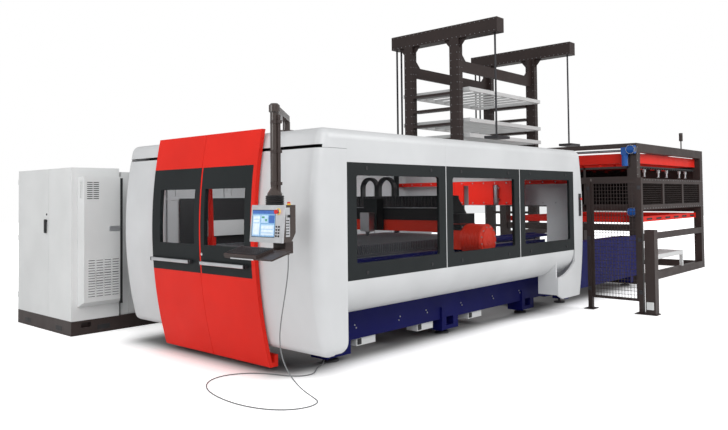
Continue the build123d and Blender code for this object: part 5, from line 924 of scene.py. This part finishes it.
# %% Cabinet lock and plinth slots
CABINET_LOCK_PLACE = (-1102, 3845, 1420)
CABINET_LOCK_PROFILE = ((0, 13), (4, 13), (6, 10), (6, 5), (4, 4))
PLINTH_SLOT_Z = (40, 95)
FRONT_SLOT_X, FRONT_SLOT_YS = (-1104, -1100), (3420, 4300)
SIDE_SLOT_XS, SIDE_SLOT_Y = (-780, 260), (3176, 3180)

cabinet_lock = bmesh.new()
add_round(cabinet_lock, CABINET_LOCK_PLACE, MINUS_X, CABINET_LOCK_PROFILE)
new_piece("cabinet_lock", "far_cabinet_door", "black_plastic", cabinet_lock)
# Fork slots: dark blocks that are painted shade of the slots.
plinth_slot_shade = bmesh.new()
for slot_y in FRONT_SLOT_YS:
    add_block(plinth_slot_shade, FRONT_SLOT_X, span(slot_y, 160), PLINTH_SLOT_Z)
for slot_x in SIDE_SLOT_XS:
    add_block(plinth_slot_shade, span(slot_x, 160), SIDE_SLOT_Y, PLINTH_SLOT_Z)
new_piece("plinth_slot_shade", "installation", "black_plastic", plinth_slot_shade, bevel=1.0)

# %% [markdown]
# ## Guard and light column
# The mesh panel is welded wire: thin wires between the CAD model's thicker ones. Clamps with
# bolts hold it to the posts, and at the foot of the light column sits a small junction box. A
# mesh could be an image with holes, but real wires keep their thickness from every side.

# %% Fine mesh, clamps and junction box
GUARD_X = 4570
MESH_Y, MESH_Z = (-1260, -670), (190, 1750)
MESH_COLUMNS, MESH_ROWS = 7, 16
WIRE_RADIUS, WIRE_OVERLAP = 3, 5
UPRIGHT_WIRE = rod_profile(WIRE_RADIUS, MESH_Z[1] - MESH_Z[0] + 2 * WIRE_OVERLAP)
LEVEL_WIRE = rod_profile(WIRE_RADIUS, MESH_Y[1] - MESH_Y[0] + 2 * WIRE_OVERLAP)
GUARD_CLAMP_YS, GUARD_CLAMP_ZS = (-1320, -610), (260, 960, 1660)
CLAMP_FACE_X = GUARD_X - 42
JUNCTION_BOX = ((4478, 4505), (-1500, -1410), (70, 170))

fine_mesh = bmesh.new()
for n in range(MESH_COLUMNS):
    wire_y = MESH_Y[0] + (MESH_Y[1] - MESH_Y[0]) * (n + 0.5) / MESH_COLUMNS
    add_round(fine_mesh, (GUARD_X, wire_y, MESH_Z[0] - WIRE_OVERLAP), PLUS_Z, UPRIGHT_WIRE,
              sides=6)
for n in range(MESH_ROWS):
    wire_z = MESH_Z[0] + (MESH_Z[1] - MESH_Z[0]) * (n + 0.5) / MESH_ROWS
    add_round(fine_mesh, (GUARD_X, MESH_Y[1] + WIRE_OVERLAP, wire_z), MINUS_Y, LEVEL_WIRE,
              sides=6)
new_piece("guard_fine_mesh", "installation", "brown_paint", fine_mesh)
clamps = bmesh.new()
for clamp_z in GUARD_CLAMP_ZS:
    for clamp_y in GUARD_CLAMP_YS:
        add_block(clamps, (CLAMP_FACE_X, GUARD_X - 26), around(clamp_y, 22), span(clamp_z, 50))
        add_bolt(clamps, (CLAMP_FACE_X, clamp_y, clamp_z + 25), MINUS_X)
new_piece("guard_clamps", "installation", "dark_steel", clamps, bevel=1.5)
junction = bmesh.new()
add_block(junction, *JUNCTION_BOX)
new_piece("junction_box", "installation", "light_paint", junction, bevel=4.0)

# %% [markdown]
# ## Lift motors
# The lift drives are bought-in gear motors: blue paint, a finned silver body and a round fan
# cowl. Fins are cast in one piece with the body. Here they are loose rings set around it, since
# only their rims and the dark gaps between them are ever seen.

# %% Fins of the motors
LEVEL_MOTOR_Y, LEVEL_MOTOR_ZS = -82, (2390, 1280)
LEVEL_FIN_XS = steps(7450, 7560, 8)
UPRIGHT_MOTOR_X, UPRIGHT_MOTOR_Y = 7522, 38
UPRIGHT_FIN_ZS = steps(2115, 2215, 7)
COWL_Z, COWL_PROFILE = 2099, ((0, 38), (8, 56), (150, 56), (156, 48))
MOTOR_SIDES = 28

motor_fins = bmesh.new()
for motor_z in LEVEL_MOTOR_ZS:
    for fin_x in LEVEL_FIN_XS:
        add_round(motor_fins, (fin_x, LEVEL_MOTOR_Y, motor_z), PLUS_X, ring_profile(74, 79, 6),
                  sides=MOTOR_SIDES, hollow=True)
for fin_z in UPRIGHT_FIN_ZS:
    add_round(motor_fins, (UPRIGHT_MOTOR_X, UPRIGHT_MOTOR_Y, fin_z), PLUS_Z,
              ring_profile(54, 59, 6), sides=MOTOR_SIDES, hollow=True)
add_round(motor_fins, (UPRIGHT_MOTOR_X, UPRIGHT_MOTOR_Y, COWL_Z), PLUS_Z, COWL_PROFILE,
          sides=MOTOR_SIDES)
new_piece("motor_fins", "installation", "bright_steel", motor_fins)

# %% [markdown]
# ## Side of the loader
# The loader's side is closed by three fields of welded mesh with a smoked sheet behind each, and
# rows of bolts run along its beams and columns. All three fields are alike, so one list of their
# starts places both the wires and the sheets.

# %% Mesh fields, sheets and bolts
FIELD_STARTS = (7690, 8895, 10100)
FIELD_LONG = 1140
FIELD_WIRE_Y = -127
FIELD_WIRE_Z, FIELD_WIRE_TALL, FIELD_WIRE_RADIUS = 1315, 560, 2
FIELD_ROW_ZS = steps(1330, 1860, 14)
FIELD_PANE_Y, FIELD_PANE_Z = (-122, -118), (1312, 1878)
LOADER_FACE_Y = -142
BEAM_BOLT_XS, BEAM_BOLT_ZS = steps(7640, 11280, 27), (1335, 1855)
COLUMN_BOLT_XS, COLUMN_BOLT_ZS = (7620, 11300), steps(80, 2440, 20)

side_mesh = bmesh.new()
for field_x in FIELD_STARTS:
    for wire_x in steps(field_x, field_x + FIELD_LONG, 30):
        add_round(side_mesh, (wire_x, FIELD_WIRE_Y, FIELD_WIRE_Z), PLUS_Z,
                  rod_profile(FIELD_WIRE_RADIUS, FIELD_WIRE_TALL), sides=5)
    for wire_z in FIELD_ROW_ZS:
        add_round(side_mesh, (field_x, FIELD_WIRE_Y, wire_z), PLUS_X,
                  rod_profile(FIELD_WIRE_RADIUS, FIELD_LONG), sides=5)
new_piece("loader_side_mesh", "installation", "brown_paint", side_mesh)
side_panes = bmesh.new()
for field_x in FIELD_STARTS:
    add_block(side_panes, (field_x - 12, field_x + FIELD_LONG + 12), FIELD_PANE_Y, FIELD_PANE_Z)
smoked = clear_sheet("smoked", (0.28, 0.25, 0.24))
new_piece("loader_side_panes", "installation", "tinted_glass", side_panes, finish=smoked)
loader_bolts = bmesh.new()
for bolt_x in BEAM_BOLT_XS:
    for bolt_z in BEAM_BOLT_ZS:
        add_bolt(loader_bolts, (bolt_x, LOADER_FACE_Y, bolt_z), MINUS_Y)
for bolt_z in COLUMN_BOLT_ZS:
    for bolt_x in COLUMN_BOLT_XS:
        add_bolt(loader_bolts, (bolt_x, LOADER_FACE_Y, bolt_z), MINUS_Y)
new_piece("loader_bolts", "installation", "bright_steel", loader_bolts)

# %% [markdown]
# ## Ends of the loader
# The loader's ends are closed at hand height, because nobody should reach under the suction
# frame: smoked sheets in a frame in front, so that the operator sees the lift, and a ribbed steel
# sheet at the far end. A corrugated sheet could be drawn as one outline, but a flat sheet with
# ribs on it is what such a guard is made of.

# %% End sheets
END_Y = (8, 2520)
FRONT_PANE = ((7640, 7645), END_Y, (1400, 2060))
FRONT_BAR_X = (7625, 7665)
BAR_WIDE = 40
LEVEL_BAR_ZS = (1370, 2060)
UPRIGHT_BAR_YS, UPRIGHT_BAR_Z = steps(8, 2480, 4), (1370, 2100)
LOW_SHEET_Z = (930, 1055)
REAR_SHEET_X, REAR_RIB_X, REAR_SHEET_Z = (11262, 11266), (11266, 11290), (1200, 2330)
REAR_RIB_YS = steps(60, 2440, 8)

front_panes = bmesh.new()
add_block(front_panes, *FRONT_PANE)
new_piece("loader_front_panes", "installation", "tinted_glass", front_panes, finish=smoked)
end_frame = bmesh.new()
for bar_z in LEVEL_BAR_ZS:
    add_block(end_frame, FRONT_BAR_X, END_Y, span(bar_z, BAR_WIDE))
for bar_y in UPRIGHT_BAR_YS:
    add_block(end_frame, FRONT_BAR_X, span(bar_y, BAR_WIDE), UPRIGHT_BAR_Z)
add_block(end_frame, FRONT_BAR_X, END_Y, LOW_SHEET_Z)
add_block(end_frame, REAR_SHEET_X, END_Y, REAR_SHEET_Z)
for rib_y in REAR_RIB_YS:
    add_block(end_frame, REAR_RIB_X, span(rib_y, 30), REAR_SHEET_Z)
new_piece("loader_end_sheets", "installation", "brown_paint", end_frame, bevel=2.0)

# %% [markdown]
# ## Under the moving frames
# The suction frame carries bright cylinders and a black rail with its valves. The unload frame is
# lightened by long holes. These are dark plates with round ends, a few millimetres proud of the
# frame: painted shade of the holes, because from outside a hole in a dark frame is only a darker
# shape.

# %% Cylinders, valve rail and long holes
SUCTION_XS = (8080, 8520, 9260, 9720, 10480, 10860)
SUCTION_Y, SUCTION_Z = 70, 1915
SUCTION_PROFILE = ((0, 26), (10, 30), (12, 16), (90, 16), (92, 28), (200, 28))
VALVE_RAIL = ((7800, 11120), (-26, -6), (2086, 2112))
VALVE_XS = steps(7860, 11060, 26)
VALVE_Y, VALVE_Z = (-28, 10), (2060, 2102)
HOLE_XS = steps(7960, 10920, 7)
HOLE_HALF_LONG, HOLE_RADIUS, HOLE_DEEP = 120, 18, 3.5
HOLE_FACE_Y, HOLE_Z = -28, 1130

cylinders = bmesh.new()
for cylinder_x in SUCTION_XS:
    add_round(cylinders, (cylinder_x, SUCTION_Y, SUCTION_Z), PLUS_Z, SUCTION_PROFILE)
new_piece("suction_cylinders", "suction_lift_frame", "alloy", cylinders)
valve_rail = bmesh.new()
add_block(valve_rail, *VALVE_RAIL)
for valve_x in VALVE_XS:
    add_block(valve_rail, around(valve_x, 22), VALVE_Y, VALVE_Z)
new_piece("suction_valves", "suction_lift_frame", "black_plastic", valve_rail, bevel=2.0)
# Long holes: dark plates that are painted shade of the holes.
long_hole_shade = bmesh.new()
for hole_x in HOLE_XS:
    add_block(long_hole_shade, around(hole_x, HOLE_HALF_LONG), (HOLE_FACE_Y - HOLE_DEEP, HOLE_FACE_Y),
              around(HOLE_Z, HOLE_RADIUS))
    for end_x in around(hole_x, HOLE_HALF_LONG):
        add_round(long_hole_shade, (end_x, HOLE_FACE_Y, HOLE_Z), MINUS_Y,
                  rod_profile(HOLE_RADIUS, HOLE_DEEP), sides=16)
new_piece("unload_long_hole_shade", "unloader", "black_plastic", long_hole_shade)

# %% [markdown]
# ## Sheet store
# The tower is bolted together from heavy sections. Rows of bright bolt heads run up the columns
# and along the beams, and gusset plates stiffen the top corners. There are hundreds of bolts, so
# a head is six sides and five rings, and all of them share one mesh.

# %% Column bolts and gussets
POST_XS, POST_YS = (7587, 10910), (3630, 4890)
POST_BOLT_ZS = steps(180, 4860, 30)
POST_FACE_INSETS, POST_SIDE_INSETS = (32, 118), (40, 200)
BEAM_BOLT_YS, BEAM_BOLT_HEIGHTS = steps(2740, 5430, 24), (5030, 5270)
POST_DEEP, GUSSET_LONG = 240, 170
GUSSET_TOP, GUSSET_FOOT = 5000, 4800

store_bolts = bmesh.new()
for post_y in POST_YS:
    for post_x in POST_XS:
        for bolt_z in POST_BOLT_ZS:
            for inset in POST_FACE_INSETS:
                add_bolt(store_bolts, (post_x + inset, post_y, bolt_z), MINUS_Y)
            for inset in POST_SIDE_INSETS:
                add_bolt(store_bolts, (post_x, post_y + inset, bolt_z), MINUS_X)
for post_x in POST_XS:
    for bolt_y in BEAM_BOLT_YS:
        for bolt_z in BEAM_BOLT_HEIGHTS:
            add_bolt(store_bolts, (post_x, bolt_y, bolt_z), MINUS_X)
new_piece("store_bolts", "installation", "bright_steel", store_bolts)
gussets = bmesh.new()
for post_x in POST_XS:
    for post_y in POST_YS:
        for corner_y, way in ((post_y, -1), (post_y + POST_DEEP, 1)):
            plate = ((corner_y, GUSSET_TOP), (corner_y, GUSSET_FOOT),
                     (corner_y + way * GUSSET_LONG, GUSSET_TOP))
            add_drawn(gussets, plate, X_AXIS, post_x + 60, post_x + 76)
new_piece("store_gussets", "installation", "brown_paint", gussets, bevel=2.0)

# %% [markdown]
# ## Floor
# The photo is a catalogue cut-out on white, with only a soft, dark shadow left under the line. A
# shadow catcher could do that in a second render, but here the floor is a real, pale, matt sheet,
# so that it also lights the line from below.

# %% Floor sheet
FLOOR_HALF = 45.0
FLOOR_PLACE = (3.35, 1.15, -0.002)
FLOOR_PALE = (0.93, 0.93, 0.93, 1)

floor_mesh = bpy.data.meshes.new("studio_floor")
floor_corners = [(-FLOOR_HALF, -FLOOR_HALF, 0), (FLOOR_HALF, -FLOOR_HALF, 0),
                 (FLOOR_HALF, FLOOR_HALF, 0), (-FLOOR_HALF, FLOOR_HALF, 0)]
floor_mesh.from_pydata(floor_corners, [], [(0, 1, 2, 3)])
floor = bpy.data.objects.new("studio_floor", floor_mesh)
floor.location = FLOOR_PLACE
scene.collection.objects.link(floor)
floor_finish, floor_tree, floor_shader = new_finish("studio_floor")
# This pale colour is replaced in the next cell by a colour that is darker under the line: painted
# shade.
floor_shader.inputs["Base Color"].default_value = FLOOR_PALE
floor_shader.inputs["Roughness"].default_value = 0.9
floor_shader.inputs["Specular IOR Level"].default_value = 0.0
floor_mesh.materials.append(floor_finish)
print("floor of", 2 * FLOOR_HALF, "m")

# %% [markdown]
# ## Glow and painted shade of the floor
# A lit sheet never comes out pure white. To the camera this one also glows: not under the line,
# but more and more with the distance from a rectangle as large as the line, so that it ends in
# pure white while the shadow stays. Only rays that the camera sees, or sees through a window, get
# the glow, so it lights nothing. Its colour also goes from dark under the line to pale beyond it:
# this is painted shade that deepens the shadow near the line.

# %% Glow that grows with distance, and painted shade under the line
LINE_HALF_SIZE = (3.9, 1.1, 0)
GLOW_RAMPS = ((0.05, 0.65, 0.0, 0.55), (2.0, 7.0, 0.0, 0.6))
FLOOR_SHADE_RAMP = (0.0, 0.4, 0.25, 0.93)
WHITE_RAYS = ("Is Camera Ray", "Is Transmission Ray")
DISTANCE_STEPS = (("ABSOLUTE", None), ("SUBTRACT", LINE_HALF_SIZE), ("MAXIMUM", (0, 0, 0)),
                  ("LENGTH", None))


def seen_rays(tree, kinds):
    """One for the rays of those kinds, nought for the others."""
    ray = tree.nodes.new("ShaderNodeLightPath")
    total = ray.outputs[kinds[0]]
    for kind in kinds[1:]:
        most = tree.nodes.new("ShaderNodeMath")
        most.operation = "MAXIMUM"
        tree.links.new(total, most.inputs[0])
        tree.links.new(ray.outputs[kind], most.inputs[1])
        total = most.outputs[0]
    return total


beyond = floor_tree.nodes.new("ShaderNodeTexCoord").outputs["Object"]
for operation, values in DISTANCE_STEPS:
    step = floor_tree.nodes.new("ShaderNodeVectorMath")
    step.operation = operation
    floor_tree.links.new(beyond, step.inputs[0])
    if values:
        step.inputs[1].default_value = values
    beyond = step.outputs["Value" if operation == "LENGTH" else "Vector"]
glow_amount = floor_tree.nodes.new("ShaderNodeMath")
glow_amount.operation = "ADD"
for socket, limits in enumerate(GLOW_RAMPS):
    share = ramp(floor_tree, beyond, *limits, shape="SMOOTHSTEP")
    floor_tree.links.new(share, glow_amount.inputs[socket])
# Painted shade: the floor's colour is dark under the line and pale from 0.4 m beyond it.
tone = ramp(floor_tree, beyond, *FLOOR_SHADE_RAMP, shape="SMOOTHSTEP")
floor_tree.links.new(tone, floor_shader.inputs["Base Color"])
seen_glow = floor_tree.nodes.new("ShaderNodeMath")
seen_glow.operation = "MULTIPLY"
glow = floor_tree.nodes.new("ShaderNodeEmission")
both = floor_tree.nodes.new("ShaderNodeAddShader")
floor_tree.links.new(glow_amount.outputs[0], seen_glow.inputs[0])
floor_tree.links.new(seen_rays(floor_tree, WHITE_RAYS), seen_glow.inputs[1])
floor_tree.links.new(seen_glow.outputs[0], glow.inputs["Strength"])
floor_tree.links.new(floor_shader.outputs[0], both.inputs[0])
floor_tree.links.new(glow.outputs[0], both.inputs[1])
floor_tree.links.new(both.outputs[0], floor_tree.nodes["Material Output"].inputs["Surface"])
print("floor glows beyond", LINE_HALF_SIZE[:2], "m")

# %% [markdown]
# ## Backdrop
# The backdrop has the same white for the camera. For everything else the world is half as bright:
# it fills the shadows evenly, as a large white studio does, and leaves the lamps their work. Two
# backgrounds and a switch on the kind of ray do both.

# %% White world
WHITE = (1, 1, 1, 1)
FILL_STRENGTH = 0.5
BACKDROP_STRENGTH = 1.0

world = bpy.data.worlds.new("studio")
scene.world = world
world.use_nodes = True
world_tree = world.node_tree
fill = world_tree.nodes["Background"]
backdrop = world_tree.nodes.new("ShaderNodeBackground")
for shader, strength in ((fill, FILL_STRENGTH), (backdrop, BACKDROP_STRENGTH)):
    shader.inputs["Color"].default_value = WHITE
    shader.inputs["Strength"].default_value = strength
pick = world_tree.nodes.new("ShaderNodeMixShader")
world_tree.links.new(seen_rays(world_tree, WHITE_RAYS), pick.inputs[0])
world_tree.links.new(fill.outputs[0], pick.inputs[1])
world_tree.links.new(backdrop.outputs[0], pick.inputs[2])
world_tree.links.new(pick.outputs[0], world_tree.nodes["World Output"].inputs["Surface"])
print("backdrop", BACKDROP_STRENGTH, "fill", FILL_STRENGTH)

# %% [markdown]
# ## Lamps
# A studio lights a machine with large soft boxes: a main one on the window side, a weaker one for
# the doors, and one for the loader and the store behind. Two faint lamps under the roof show the
# inside of the cabin. Point lamps would throw hard shadows, so all of them are square areas.

# %% Studio lamps
CABIN_MIDDLE = (1.7, 0.9, 1.1)
LOADER_MIDDLE = (8.0, 2.0, 1.5)
LAMPS = (
    ("key_light", (-6.0, -9.0, 8.0), CABIN_MIDDLE, 7.0, 760),
    ("door_light", (-10.0, 2.5, 5.5), CABIN_MIDDLE, 6.0, 330),
    ("far_light", (9.0, -9.0, 8.0), LOADER_MIDDLE, 7.0, 700),
    ("cabin_light_front", (0.3, 1.1, 2.03), (0.3, 1.6, 0), 1.2, 20),
    ("cabin_light_rear", (3.1, 1.0, 2.03), (3.2, 1.5, 0), 1.2, 27),
)

for name, place, aim, size, watts in LAMPS:
    lamp_data = bpy.data.lights.new(name, "AREA")
    lamp_data.size = size
    lamp_data.energy = watts
    lamp = bpy.data.objects.new(name, lamp_data)
    lamp.location = place
    lamp.rotation_mode = "QUATERNION"
    lamp.rotation_quaternion = (Vector(aim) - Vector(place)).to_track_quat("-Z", "Y")
    scene.collection.objects.link(lamp)
scene.view_settings.view_transform = "Standard"
